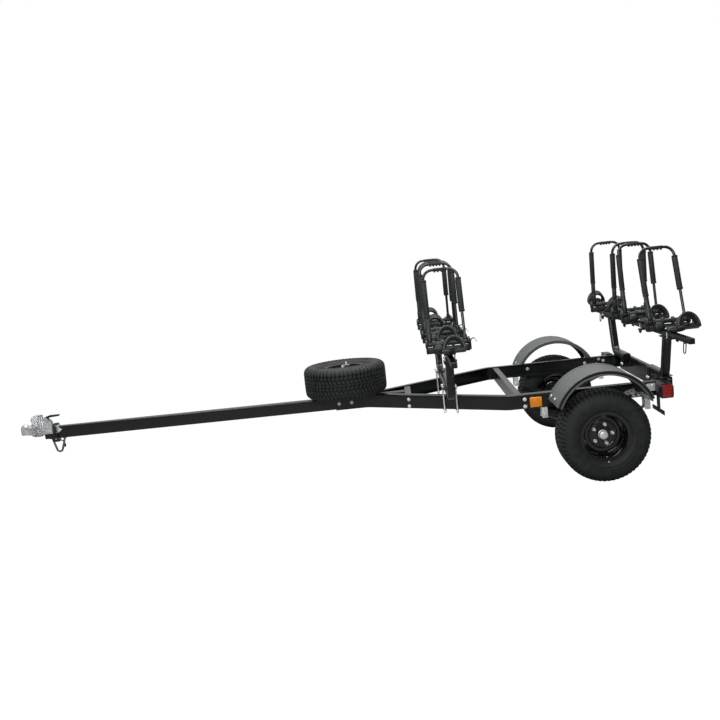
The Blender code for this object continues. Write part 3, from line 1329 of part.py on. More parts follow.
# The nose-down pitch at which the stand's bend rests on the same ground as the wheels.
stand_drop = TYRE_RADIUS - STAND_BEND_RADIUS - STAND_RADIUS
pitch = math.atan2(STAND_BEND_Z, -STAND_BEND_X) + math.asin(
    stand_drop / math.hypot(STAND_BEND_X, STAND_BEND_Z)
)
trailer = bpy.data.objects.new("trailer", None)
bpy.context.scene.collection.objects.link(trailer)

make_rails()
make_tongue()
make_crosspieces()
make_springs()
make_axle()
make_wheels()
make_spare()
make_coupler()
make_stand()
make_wound_pieces()
make_risers()
make_crossbars()
make_cradles()
make_fenders()
make_lights()

trailer.rotation_euler = (0, -pitch, 0)
bpy.context.view_layer.update()
reach = [
    (obj.matrix_world @ v.co).x
    for obj in bpy.context.scene.objects if obj.type == "MESH" for v in obj.data.vertices
]
centre_x = (min(reach) + max(reach)) / 2
trailer.location = (-centre_x, 0, TYRE_RADIUS)
bpy.context.view_layer.update()
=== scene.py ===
import math

import bmesh
import bpy
from mathutils import Matrix, Vector


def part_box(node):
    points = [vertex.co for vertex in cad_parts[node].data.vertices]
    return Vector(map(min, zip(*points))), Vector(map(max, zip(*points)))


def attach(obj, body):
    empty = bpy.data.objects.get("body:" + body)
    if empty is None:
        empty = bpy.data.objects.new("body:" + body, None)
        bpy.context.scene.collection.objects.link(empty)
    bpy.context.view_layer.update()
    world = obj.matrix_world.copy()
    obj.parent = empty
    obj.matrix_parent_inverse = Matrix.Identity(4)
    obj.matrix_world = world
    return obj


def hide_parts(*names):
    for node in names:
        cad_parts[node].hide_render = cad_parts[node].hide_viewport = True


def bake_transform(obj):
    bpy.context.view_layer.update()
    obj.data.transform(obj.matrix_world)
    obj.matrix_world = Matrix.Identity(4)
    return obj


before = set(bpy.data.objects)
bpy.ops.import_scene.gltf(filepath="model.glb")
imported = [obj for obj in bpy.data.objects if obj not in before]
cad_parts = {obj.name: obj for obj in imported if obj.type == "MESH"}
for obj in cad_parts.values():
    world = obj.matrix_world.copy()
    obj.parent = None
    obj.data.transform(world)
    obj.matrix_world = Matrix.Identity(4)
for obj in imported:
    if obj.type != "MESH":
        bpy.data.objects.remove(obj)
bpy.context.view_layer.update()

# The view of the photograph, and the way the trailer stands.
# The trailer rests nose down on its wheels and its tongue stand, so every piece is worked
# out on a level trailer with the axle's centre as origin, and is then tipped into place.
PITCH = 0.098853
HUB_LOW, HUB_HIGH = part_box("hub_left")
AXLE_X = (HUB_LOW.x + HUB_HIGH.x) / 2
AXLE_Z = 0.2605
TRAILER = Matrix.Translation((AXLE_X, 0, AXLE_Z)) @ Matrix.Rotation(-PITCH, 4, "Y")

CAMERA_PLACE = Vector((AXLE_X - 1.2339, -5.2775, 1.3587))
CAMERA_YAW = 0.0257
CAMERA_DOWN = 0.1437
CAMERA_LENS = 41.714
CAMERA_SHIFT = (-0.0640, -0.0010)


def shown(name, data):
    """Puts a mesh, curve, lamp or camera into the scene as an object."""
    made = bpy.data.objects.new(name, data)
    bpy.context.scene.collection.objects.link(made)
    return made


def aimed(spot, way, axis="Z", up="Y"):
    """The place at a spot whose axis looks along a way."""
    return Matrix.Translation(spot) @ Vector(way).to_track_quat(axis, up).to_matrix().to_4x4()


camera_data = bpy.data.cameras.new("photo_camera")
camera_data.lens = CAMERA_LENS
camera_data.sensor_width = 36
camera_data.shift_x, camera_data.shift_y = CAMERA_SHIFT
camera_data.clip_end = 60
camera = shown("photo_camera", camera_data)
looking = (
    math.sin(CAMERA_YAW) * math.cos(CAMERA_DOWN),
    math.cos(CAMERA_YAW) * math.cos(CAMERA_DOWN),
    -math.sin(CAMERA_DOWN),
)
camera.matrix_world = aimed(CAMERA_PLACE, looking, "-Z", "Y")
bpy.context.scene.camera = camera


# Wiring lead and plug.
# A black PVC-sheathed trailer loom comes down out of the tongue behind the coupler, is wound
# in three tidy turns round the coupler's heel, and ends in a flat moulded plug.
LEAD_RADIUS = 0.0035
LEAD_START_X = -3.3445
LEAD_PITCH = 0.0085
LEAD_TURNS = 3
LEAD_STEPS = 40
LEAD_HALF_WIDTH = 0.0385
LEAD_TOP_Z = 0.2565
LEAD_BOTTOM_Z = 0.1445
LOOP_SQUARENESS = 5.0
TONGUE_BOTTOM = 0.1652
PLUG_RIDGES = 4
PLUG_RIDGE_STEP = 0.0032


def colour(code):
    """An sRGB hex colour as the linear colour that a shader takes."""
    parts = [int(code[i:i + 2], 16) / 255 for i in (1, 3, 5)]
    return [p / 12.92 if p <= 0.04045 else ((p + 0.055) / 1.055) ** 2.4 for p in parts] + [1.0]


def new_finish(name, base, roughness, metallic=0.0, slot=None, **more):
    """A material whose shader starts from what the real stuff is. The slot argument is not used."""
    finish = bpy.data.materials.new(name)
    finish.use_nodes = True
    shader = finish.node_tree.nodes["Principled BSDF"]
    shader.inputs["Base Color"].default_value = colour(base)
    shader.inputs["Roughness"].default_value = roughness
    shader.inputs["Metallic"].default_value = metallic
    for socket, value in more.items():
        shader.inputs[socket.replace("_", " ")].default_value = value
    return finish


def add(finish, kind, feeds, outlet=None, into=None, **settings):
    """Adds one node: its settings, what feeds its sockets, and where its outlet goes."""
    tree = finish.node_tree
    made = tree.nodes.new(kind)
    for key, value in settings.items():
        setattr(made, key, value)
    for socket, value in feeds.items():
        if isinstance(value, bpy.types.NodeSocket):
            tree.links.new(value, made.inputs[socket])
        else:
            made.inputs[socket].default_value = value
    if into:
        tree.links.new(made.outputs[outlet], tree.nodes["Principled BSDF"].inputs[into])
    return made


def marked(finish, kind, feeds, rough=None, relief=None, tones=(), **settings):
    """Marks a finish with one pattern on its own coordinates, its scale in marks to the metre.

    A wave makes 3.18 ribs to the mark. The pattern moves the roughness between two values, raises
    a relief by its strength and its depth in metres, and shades the colour between stops of
    place and colour.
    """
    where = add(finish, "ShaderNodeTexCoord", {}).outputs["Object"]
    texture = add(finish, kind, {"Vector": where, **feeds}, **settings)
    marks = texture.outputs["Distance" if kind == "ShaderNodeTexVoronoi" else "Fac"]
    if rough:
        add(finish, "ShaderNodeMapRange", {"Value": marks, "To Min": rough[0], "To Max": rough[1]},
            "Result", "Roughness")
    if relief:
        add(finish, "ShaderNodeBump", {"Height": marks, "Strength": relief[0], "Distance": relief[1]},
            "Normal", "Normal")
    if tones:
        ramp = add(finish, "ShaderNodeValToRGB", {"Fac": marks}, "Color", "Base Color").color_ramp
        for stop, (place, shade) in zip(ramp.elements, tones):
            stop.position, stop.color = place, shade


def loop_route(start_x, pitch_x, turns, each, half_width, low, high):
    """Points of squarish turns wound round the coupler."""
    middle, tall = (low + high) / 2, (high - low) / 2
    power = 2 / LOOP_SQUARENESS
    points = []
    for i in range(turns * each + 1):
        a = -math.pi / 2 + 2 * math.pi * i / each
        c, s = math.cos(a), math.sin(a)
        y = half_width * math.copysign(abs(c) ** power, c)
        z = middle + tall * math.copysign(abs(s) ** power, s)
        points.append(Vector((start_x + pitch_x * i / each, y, z)))
    return points


def mesh_of(bm, name):
    """Turns the worked mesh into mesh data."""
    mesh = bpy.data.meshes.new(name)
    bm.to_mesh(mesh)
    bm.free()
    return mesh


def to_side(bm, sign):
    """Mirrors a right-hand piece for the left side."""
    if sign < 0:
        bmesh.ops.scale(bm, vec=(1, -1, 1), verts=bm.verts)


def placed(bm, name, finish, nodes=(), smooth=35, sign=1, body="frame"):
    """Tips a finished piece into the trailer's place and fixes it to its body.

    Edges flatter than smooth degrees are shaded smooth; sign -1 makes the left-hand piece.
    """
    to_side(bm, sign)
    bmesh.ops.remove_doubles(bm, verts=bm.verts, dist=1e-6)
    bmesh.ops.recalc_face_normals(bm, faces=bm.faces)
    bm.transform(TRAILER)
    mesh = mesh_of(bm, name)
    mesh.shade_smooth()
    mesh.set_sharp_from_angle(angle=math.radians(smooth))
    mesh.materials.append(finish)
    piece = shown(name, mesh)
    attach(piece, body)
    if nodes:
        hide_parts(*nodes)
    return piece


def bevel(bm, geom, offset, steps=2, affect="EDGES"):
    """Rounds edges, or the corners of a flat section."""
    bmesh.ops.bevel(
        bm, geom=geom, offset=offset, affect=affect, segments=steps, profile=0.5, material=-1
    )


def block(bm, one, other, edge=0.001, steps=2, place=Matrix.Identity(4)):
    """A box between two corners, its edges broken as a folded or moulded piece has them."""
    low = Vector([min(pair) for pair in zip(one, other)])
    high = Vector([max(pair) for pair in zip(one, other)])
    spread = Matrix.Translation((low + high) / 2) @ Matrix.Diagonal((*(high - low), 1))
    made = bmesh.ops.create_cube(bm, size=1, matrix=place @ spread)
    bevel(bm, list({e for v in made["verts"] for e in v.link_edges}), edge, steps)


def around(bm, middle, half, edge=0.001, steps=2, place=Matrix.Identity(4)):
    """The same box from its middle and its half sizes."""
    block(bm, Vector(middle) - Vector(half), Vector(middle) + Vector(half), edge, steps, place)


# Soft black PVC, extruded over the wires: satin, with faint flow marks, drawn 6 mm wide so that
# they show.
sheath = new_finish("extruded_pvc_sheath", "#151617", 0.45, slot="cable")
marked(sheath, "ShaderNodeTexNoise", {"Scale": 180, "Detail": 3}, (0.36, 0.56), (0.15, 0.0004))

lead_first = LEAD_START_X - LEAD_PITCH
lead_end = LEAD_START_X + LEAD_PITCH * LEAD_TURNS
lead_route = [Vector(p) for p in (
    (lead_first, -0.0190, TONGUE_BOTTOM),
    (lead_first, -0.0190, TONGUE_BOTTOM - 0.0053),
    (lead_first, -0.0185, LEAD_BOTTOM_Z + 0.0095),
    (lead_first + 0.001, -0.0165, LEAD_BOTTOM_Z + 0.0045),
    (lead_first + 0.003, -0.0120, LEAD_BOTTOM_Z + 0.0010),
    (lead_first + 0.006, -0.0060, LEAD_BOTTOM_Z),
)]
lead_route += loop_route(
    LEAD_START_X, LEAD_PITCH, LEAD_TURNS, LEAD_STEPS, LEAD_HALF_WIDTH, LEAD_BOTTOM_Z, LEAD_TOP_Z
)
lead_tail = [Vector((lead_end + a, y, LEAD_BOTTOM_Z - drop)) for a, y, drop in (
    (0.001, 0.008, 0.0005), (0.002, 0.020, 0.0030), (0.002, 0.034, 0.0070),
    (0.002, 0.044, 0.0150), (0.002, 0.049, 0.0260),
)]
lead_route += lead_tail
lead_curve = bpy.data.curves.new("wiring_loom", "CURVE")
lead_curve.dimensions = "3D"
lead_curve.bevel_depth = LEAD_RADIUS
lead_curve.bevel_resolution = 4
lead_curve.use_fill_caps = True
lead_spline = lead_curve.splines.new("POLY")
lead_spline.points.add(len(lead_route) - 1)
for point, spot in zip(lead_spline.points, lead_route):
    point.co = (*(TRAILER @ spot), 1)
lead_spline.use_smooth = True
lead_curve.materials.append(sheath)
loom = shown("wiring_loom", lead_curve)
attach(loom, "frame")
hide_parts("wiring_lead")

# Along the plug's own z axis: body, neck and grip ridges.
plug_place = aimed(lead_tail[-1], lead_tail[-1] - lead_tail[-2], "Z", "X")
bm = bmesh.new()
block(bm, (-0.008, -0.0045, 0.0065), (0.008, 0.0045, 0.0300), 0.0018, 3, plug_place)
block(bm, (-0.0055, -0.0038, 0.0003), (0.0055, 0.0038, 0.0072), 0.0015, 3, plug_place)
for ridge in range(PLUG_RIDGES):
    around(bm, (0, 0, 0.0107 + PLUG_RIDGE_STEP * ridge), (0.0085, 0.0050, 0.0007), 0.0004, 1, plug_place)
plug = placed(bm, "flat_plug", sheath, ["wiring_plug"])


# Safety chain.
# Welded links of zinc-plated 5 mm steel wire, wound three times round the coupler ahead of
# the wiring and left there for storage.
CHAIN_START_X = -3.4660
CHAIN_PITCH = 0.0150
CHAIN_TURNS = 3
CHAIN_STEPS = 48
CHAIN_HALF_WIDTH = 0.0555
CHAIN_BOTTOM_Z = 0.1926
CHAIN_TOP_Z = 0.315
LINK_WIRE = 0.0024
LINK_SIDES = 6
LINK_HALF_WIDTH = 0.0045
LINK_HALF_RUN = 0.0052


def disc(bm, spot, facing, radius, sides):
    """The round end that a bar sets off from."""
    made = bmesh.ops.create_circle(
        bm, cap_ends=True, segments=sides, radius=radius, matrix=aimed(spot, facing)
    )
    return made["verts"][0].link_faces[0]


def drawn(bm, section, moves):
    """Pulls a flat section along straight runs and round bends, as tube is bent in a press."""
    last = [section]
    for move in moves:
        if len(move) == 1:
            made = bmesh.ops.extrude_face_region(bm, geom=last)["geom"]
            ring = [g for g in made if isinstance(g, bmesh.types.BMVert)]
            bmesh.ops.translate(bm, verts=ring, vec=move[0])
        else:
            centre, axis, angle, steps = move
            made = bmesh.ops.spin(
                bm, geom=last, cent=centre, axis=axis, angle=angle, steps=steps
            )["geom_last"]
        last = [g for g in made if isinstance(g, bmesh.types.BMFace)]
    return last[0]


def pulled(bm, section, *way):
    """Pulls a flat section along one straight run."""
    return drawn(bm, section, [(Vector(way),)])


def moves_along(points, radius, steps=6):
    """The straight runs and the bends from first point to last; one radius, or one for each bend."""
    points = [Vector(p) for p in points]
    radii = radius if isinstance(radius, tuple) else (radius,) * len(points)
    moves = []
    spot = points[0]
    for before, corner, after, bend in zip(points, points[1:], points[2:], radii):
        a = (corner - before).normalized()
        b = (after - corner).normalized()
        angle = a.angle(b)
        axis = a.cross(b).normalized()
        trim = bend * math.tan(angle / 2)
        moves.append((corner - a * trim - spot,))
        moves.append((corner - a * trim + axis.cross(a) * bend, axis, angle, steps))
        spot = corner + b * trim
    moves.append((points[-1] - spot,))
    return moves


def rod(bm, route, radius, sides, bend, steps=6):
    """A round bar bent along a route."""
    route = [Vector(p) for p in route]
    drawn(bm, disc(bm, route[0], route[1] - route[0], radius, sides), moves_along(route, bend, steps))


def zinc_plate(name, dull, light, metallic):
    """Zinc plate over steel, its shine and its grey a little cloudy where the bath left it.

    The clouds are about 22 mm wide. The pits are drawn 1 mm wide, since real ones are too fine
    to show.
    """
    finish = new_finish(name, light, 0.34, metallic, "zinc")
    marked(
        finish, "ShaderNodeTexNoise", {"Scale": 45, "Detail": 6}, rough=(0.20, 0.46),
        tones=((0.3, colour(dull)), (0.7, colour(light))),
    )
    marked(finish, "ShaderNodeTexNoise", {"Scale": 900, "Detail": 2}, relief=(0.12, 0.0002))
    return finish


zinc = zinc_plate("bright_zinc_plate", "#cdd0d2", "#f5f5f5", 0.48)
chain_zinc = zinc_plate("zinc_plated_chain", "#9a9ea2", "#dcdee0", 0.95)
rod_zinc = zinc_plate("galvanised_rod", "#63676a", "#8e9294", 0.80)

bm = bmesh.new()
link_moves = []
for way in (1, -1):
    link_moves.append((Vector((way * 2 * LINK_HALF_RUN, 0, 0)),))
    link_moves.append((Vector((way * LINK_HALF_RUN, 0, 0)), Vector((0, 0, -1)), math.pi, 4))
drawn(bm, disc(bm, (-LINK_HALF_RUN, LINK_HALF_WIDTH, 0), (1, 0, 0), LINK_WIRE, LINK_SIDES), link_moves)
caps = [f for f in bm.faces if len(f.verts) == LINK_SIDES]
bmesh.ops.delete(bm, geom=caps, context="FACES_ONLY")
bmesh.ops.remove_doubles(bm, verts=bm.verts, dist=1e-5)
link_mesh = mesh_of(bm, "link")

chain_route = [
    Vector((CHAIN_START_X - 0.012, -0.020, CHAIN_BOTTOM_Z + 0.004)),
    Vector((CHAIN_START_X - 0.006, -0.010, CHAIN_BOTTOM_Z)),
]
chain_route += loop_route(
    CHAIN_START_X, CHAIN_PITCH, CHAIN_TURNS, CHAIN_STEPS, CHAIN_HALF_WIDTH, CHAIN_BOTTOM_Z, CHAIN_TOP_Z
)
chain_end = CHAIN_START_X + CHAIN_PITCH * CHAIN_TURNS
chain_route += [
    Vector((chain_end + 0.006, 0.010, CHAIN_BOTTOM_Z)),
    Vector((chain_end + 0.012, 0.020, CHAIN_BOTTOM_Z + 0.004)),
]
link_step = 2 * (LINK_HALF_RUN + LINK_HALF_WIDTH - LINK_WIRE)
chain_bm = bmesh.new()
travelled, due, order = 0.0, link_step / 2, 0
for a, b in zip(chain_route, chain_route[1:]):
    span = (b - a).length
    while due <= travelled + span:
        twist = Matrix.Rotation(math.pi / 4 + math.pi / 2 * (order % 2), 4, "X")
        lie = aimed(a.lerp(b, (due - travelled) / span), b - a, "X", "Z") @ twist
        count = len(chain_bm.verts)
        chain_bm.from_mesh(link_mesh)
        chain_bm.verts.ensure_lookup_table()
        bmesh.ops.transform(chain_bm, matrix=lie, verts=chain_bm.verts[count:])
        due += link_step
        order += 1
    travelled += span
bpy.data.meshes.remove(link_mesh)
placed(chain_bm, "welded_chain", chain_zinc, ["safety_chain"], 60)


# Tongue.
# A 2 x 3 inch steel box tube with rolled corners, powder coated black and left plain.
TONGUE_WIDTH = 0.0508
TONGUE_TOP = 0.2414
TONGUE_FRONT_X = -3.400
TONGUE_REAR_X = -1.0893
TONGUE_CORNER = 0.0065


def powder_coat(name, base, gloss):
    """Black powder coat: an even film with a faint orange peel and a little dust on it.

    The peel is drawn 7 mm wide, coarser than real so that it shows. The dust lies in patches of
    about 140 mm.
    """
    finish = new_finish(
        name, base, gloss, slot="black_paint", Specular_IOR_Level=0.38, Coat_Weight=0.22,
        Coat_Roughness=0.18,
    )
    marked(finish, "ShaderNodeTexNoise", {"Scale": 150, "Detail": 2}, relief=(0.04, 0.0003))
    dusty = [c * 1.5 for c in colour(base)[:3]] + [1.0]
    marked(
        finish, "ShaderNodeTexNoise", {"Scale": 7, "Detail": 8, "Roughness": 0.65},
        rough=(gloss - 0.08, gloss + 0.12), tones=((0.35, colour(base)), (0.8, dusty)),
    )
    return finish


black_coat = powder_coat("black_powder_coat", "#070a0b", 0.28)

bm = bmesh.new()
section = bmesh.ops.create_grid(
    bm, x_segments=1, y_segments=1, size=0.5,
    matrix=Matrix.Translation((TONGUE_FRONT_X, 0, (TONGUE_TOP + TONGUE_BOTTOM) / 2))
    @ Matrix.Rotation(math.pi / 2, 4, "Y")
    @ Matrix.Diagonal((TONGUE_TOP - TONGUE_BOTTOM, TONGUE_WIDTH, 1, 1)),
)
bevel(bm, section["verts"], TONGUE_CORNER, 5, "VERTICES")
bm.faces.ensure_lookup_table()
pulled(bm, bm.faces[0], TONGUE_REAR_X - TONGUE_FRONT_X, 0, 0)
placed(bm, "tongue_box_tube", black_coat, ["tongue_tube"])


# Coupler.
# A stamped steel housing with a domed socket at its nose, zinc plated, and a latch with a
# black dipped handle; its own CAD pieces carry the shape.

# Dipped vinyl: a soft satin black skin with slow ripples of 4 mm.
dip = new_finish("vinyl_dip", "#101112", 0.38)
marked(dip, "ShaderNodeTexNoise", {"Scale": 260, "Detail": 2}, (0.30, 0.50), (0.2, 0.0005))


def coat(finish, *names):
    """Gives CAD nodes that keep their own shape their finish."""
    for name in names:
        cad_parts[name].material_slots[0].material = finish


coat(zinc_plate("zinc_plated_stamping", "#a6aaad", "#dcdedf", 0.55), "coupler_body", "coupler_jaw")
coat(dip, "coupler_lever")


# Tongue stand.
# One round steel rod bent to a narrow V and welded to two small feet under the tongue.
STAND_RADIUS = 0.0065
STAND_FRONT_X = -3.366
STAND_REAR_X = -3.285
STAND_BEND_RADIUS = 0.018

stand_top = TONGUE_BOTTOM - 0.0005
stand_centre = Vector((-3.329, 0, 0.093))


def tangent_spot(start, turn):
    """Where a straight leg from this point runs into the stand's bend."""
    away = start - stand_centre
    lean = math.acos(STAND_BEND_RADIUS / away.length)
    return Matrix.Rotation(turn * lean, 3, "Y") @ away.normalized() * STAND_BEND_RADIUS


stand_front = Vector((STAND_FRONT_X, 0, stand_top))
stand_rear = Vector((STAND_REAR_X, 0, stand_top))
first, last = tangent_spot(stand_front, -1), tangent_spot(stand_rear, 1)
bm = bmesh.new()
leg = stand_centre + first - stand_front
drawn(bm, disc(bm, stand_front, leg, STAND_RADIUS, 20), [
    (leg,),
    (stand_centre, Vector((0, -1, 0)), first.angle(last), 14),
    (stand_rear - stand_centre - last,),
])
for x in (STAND_FRONT_X, STAND_REAR_X):
    around(bm, (x, 0, stand_top - 0.002), (0.014, 0.012, 0.002), 0.0012)
placed(bm, "bent_rod_stand", rod_zinc, ["tongue_stand"])


# Side rails.
# Two press-bent steel C channels meet on the tongue, spread to the full width and run
# straight back; zinc bolts hold every member to their webs.
FIT = 0.0003
RAIL_TOP = 0.2464
RAIL_HEIGHT = 0.0862
RAIL_FLANGE = 0.038
RAIL_WALL = 0.004
RAIL_CORNER = 0.0055
RAIL_FRONT_X = -1.537
RAIL_NOSE_BEND_X = -1.333
RAIL_SHOULDER_X = -0.503
RAIL_REAR_X = 0.4557
RAIL_BEND = 0.09
HALF_FRAME = 0.547
NOSE_Y = TONGUE_WIDTH / 2 + FIT + RAIL_WALL
SPLAY = math.atan2(HALF_FRAME - NOSE_Y, RAIL_SHOULDER_X - RAIL_NOSE_BEND_X)
SIDES = {"left": -1, "right": 1}


def rail_y(x):
    """Outer face of the right-hand rail."""
    if x <= RAIL_NOSE_BEND_X:
        return NOSE_Y
    if x >= RAIL_SHOULDER_X:
        return HALF_FRAME
    return NOSE_Y + (x - RAIL_NOSE_BEND_X) * math.tan(SPLAY)


def polygon(bm, corners):
    """One flat face from its corners."""
    return bm.faces.new([bm.verts.new(corner) for corner in corners])


def rounded(bm, face, wanted, offset, steps):
    """Rounds the corners of a flat section that lie where wanted says."""
    before = set(bm.faces) - {face}
    bevel(bm, [v for v in face.verts if wanted(v.co)], offset, steps, "VERTICES")
    return [f for f in bm.faces if f not in before][0]


def channel(web, lip, low, high):
    """The outline of a C channel from its web's outer face to its flanges' tips."""
    inner = web + math.copysign(RAIL_WALL, lip - web)
    return [
        (web, low), (web, high), (lip, high), (lip, high - RAIL_WALL), (inner, high - RAIL_WALL),
        (inner, low + RAIL_WALL), (lip, low + RAIL_WALL), (lip, low),
    ]


def cone(bm, start, end, wide, narrow, sides):
    """A closed stub, round or with flats, from one point to another."""
    start, end = Vector(start), Vector(end)
    bmesh.ops.create_cone(
        bm, cap_ends=True, segments=sides, radius1=wide, radius2=narrow, depth=(end - start).length,
        matrix=aimed((start + end) / 2, end - start),
    )


def bolt(bm, spot, outward, across=0.0082, height=0.0062, washer=0.0112, tail=0.0):
    """A hexagon bolt head on its washer, or a nut with the bolt's end through it."""
    outward = Vector(outward).normalized()
    spot = Vector(spot)
    layers = [
        (washer, washer, 0.0, 0.0014, 20),
        (across, across, 0.0014, height - 0.0012, 6),
        (across, across * 0.86, height - 0.0012, height, 6),
    ]
    if tail:
        layers.append((across * 0.52, across * 0.48, height, height + tail, 10))
    for wide, narrow, low, high, sides in layers:
        cone(bm, spot + outward * low, spot + outward * high, wide, narrow, sides)


rail_low = RAIL_TOP - RAIL_HEIGHT
slant = (-math.sin(SPLAY), math.cos(SPLAY), 0)
for side, sign in SIDES.items():
    bm = bmesh.new()
    outline = channel(NOSE_Y, NOSE_Y - RAIL_FLANGE, rail_low, RAIL_TOP)
    face = polygon(bm, [(RAIL_FRONT_X, y, z) for y, z in outline])
    face = rounded(bm, face, lambda co: co.y > NOSE_Y - 0.001, RAIL_CORNER, 4)
    route = [
        (RAIL_FRONT_X, NOSE_Y, 0), (RAIL_NOSE_BEND_X, NOSE_Y, 0), (RAIL_SHOULDER_X, HALF_FRAME, 0),
        (RAIL_REAR_X, HALF_FRAME, 0),
    ]
    drawn(bm, face, moves_along(route, RAIL_BEND))
    bmesh.ops.bisect_plane(
        bm, geom=bm.verts[:] + bm.edges[:] + bm.faces[:], dist=1e-6, plane_co=(0, FIT, 0),
        plane_no=(0, 1, 0), clear_inner=True,
    )
    bmesh.ops.holes_fill(bm, edges=[e for e in bm.edges if e.is_boundary], sides=0)
    placed(bm, f"channel_rail_{side}", black_coat, [f"side_rail_{side}"], sign=sign)

    bm = bmesh.new()
    for x in (-1.514, -1.434):
        bolt(bm, (x, NOSE_Y, 0.2033), (0, 1, 0))
    for z in (0.217, 0.175):
        bolt(bm, (-1.070, rail_y(-1.070), z), slant)
        bolt(bm, (-0.4055, HALF_FRAME, z), (0, 1, 0))
    for z in (0.231, 0.192):
        bolt(bm, (0.413, HALF_FRAME, z), (0, 1, 0))
    for x, z in ((-0.204, 0.205), (0.204, 0.205), (0.305, 0.226), (0.337, 0.21), (0.285, 0.188)):
        bolt(bm, (x, HALF_FRAME - RAIL_WALL, z), (0, -1, 0), tail=0.006)
    placed(bm, f"rail_bolts_{side}", zinc, sign=sign)


# Cross members.
# Folded steel channels between the rails: a short one behind the tongue, one behind the
# load bar's foot, and a deep one that closes the frame at the back.
REAR_LOW_Z, REAR_HIGH_Z = 0.1390, 0.2620
REAR_DEPTH = 0.022
FLANGE_HALF = HALF_FRAME - 0.045

coat(black_coat, "tongue_crosspiece", "front_crossmember")
rear_x = RAIL_REAR_X + FIT
bm = bmesh.new()
outline = channel(rear_x, rear_x + REAR_DEPTH, REAR_LOW_Z, REAR_HIGH_Z)
face = polygon(bm, [(x, -FLANGE_HALF, z) for x, z in outline])
face = rounded(bm, face, lambda co: co.x < rear_x + 0.001, RAIL_CORNER, 4)
pulled(bm, face, 0, 2 * FLANGE_HALF, 0)
for sign in SIDES.values():
    # An ear against each rail's web, and the web's end past the flanges.
    block(bm, (rear_x - 0.055, sign * (HALF_FRAME - 0.0043), 0.1685),
          (rear_x + 0.002, sign * (HALF_FRAME - 0.0083), 0.2381))
    block(bm, (rear_x, sign * (FLANGE_HALF - 0.004), REAR_LOW_Z + 0.002),
          (rear_x + RAIL_WALL, sign * HALF_FRAME, REAR_HIGH_Z - 0.002))
placed(bm, "rear_channel", black_coat, ["rear_crossmember"])
bm = bmesh.new()
for y in (-0.30, -0.22, 0.22, 0.30):
    bolt(bm, (rear_x + RAIL_WALL, y, 0.20), (1, 0, 0), tail=0.005)
placed(bm, "rear_channel_nuts", zinc)


# Springs and axle.
# Three-leaf steel springs sit under the rails in zinc hangers and ride on a square axle
# beam, clamped to it with plates and U-bolts. Each spring is drawn in two curved halves.
AXLE_HALF = 0.0381 / 2
BEAM_REACH = 0.6135
SPINDLE_START, SPINDLE_END = BEAM_REACH - 0.010, 0.6895
SPINDLE_RADIUS = 0.0134
SPRING_Y = 0.528
LEAF_WIDTH = 0.0445
LEAF = 0.006
LEAF_REACHES = (math.inf, 0.205, 0.115)
LEAF_MIDDLE_Z = AXLE_HALF + FIT + LEAF * 2.5
FRONT_EYE_X, FRONT_EYE_Z = -0.2955, 0.115
REAR_TIP_X = 0.3210
EYE_RADIUS = 0.0123
LEAF_CURVE = (FRONT_EYE_Z - EYE_RADIUS + LEAF / 2 - LEAF_MIDDLE_Z) / FRONT_EYE_X**2
PACK_TOP = LEAF_MIDDLE_Z + LEAF / 2 + 0.0010
BOLT_X, BOLT_Y = AXLE_HALF + 0.0053, LEAF_WIDTH / 2 + 0.0053
U_BOLT_RADIUS, U_BOLT_BEND = 0.0045, 0.009
CLAMP_UNDER = -AXLE_HALF - 0.0058
THREAD_END = -AXLE_HALF - 0.017
U_BOLT_TOP = PACK_TOP + 0.0105
PLATE_X, PLATE_Y = BOLT_X + 0.009, BOLT_Y + 0.009

coat(zinc, *[f"spring_hanger_{end}_{side}" for end in ("front", "rear") for side in SIDES])
spring_coat = powder_coat("spring_black", "#0d0e0f", 0.42)
beam_bm, clamp_bm = bmesh.new(), bmesh.new()
around(beam_bm, (0, 0, 0), (AXLE_HALF, BEAM_REACH, AXLE_HALF), 0.003, 3)
for sign in SIDES.values():
    face = disc(beam_bm, (0, sign * SPINDLE_START, 0), (0, sign, 0), SPINDLE_RADIUS, 32)
    pulled(beam_bm, face, 0, sign * (SPINDLE_END - SPINDLE_START), 0)
    middle = sign * SPRING_Y
    for low, high in ((CLAMP_UNDER, -AXLE_HALF + 0.0002), (PACK_TOP, PACK_TOP + 0.006)):
        block(clamp_bm, (-PLATE_X, middle - PLATE_Y, low), (PLATE_X, middle + PLATE_Y, high), 0.0012)
    for x in (-BOLT_X, BOLT_X):
        rod(clamp_bm, [
            (x, middle + BOLT_Y, THREAD_END), (x, middle + BOLT_Y, U_BOLT_TOP),
            (x, middle - BOLT_Y, U_BOLT_TOP), (x, middle - BOLT_Y, THREAD_END),
        ], U_BOLT_RADIUS, 12, U_BOLT_BEND, 5)
        for y in (middle - BOLT_Y, middle + BOLT_Y):
            bolt(clamp_bm, (x, y, CLAMP_UNDER), (0, 0, -1), 0.0072, 0.0075, 0.0088)
placed(beam_bm, "square_axle_beam", black_coat, ["axle_beam"], body="axle")
placed(clamp_bm, "spring_u_bolts", zinc, body="axle")

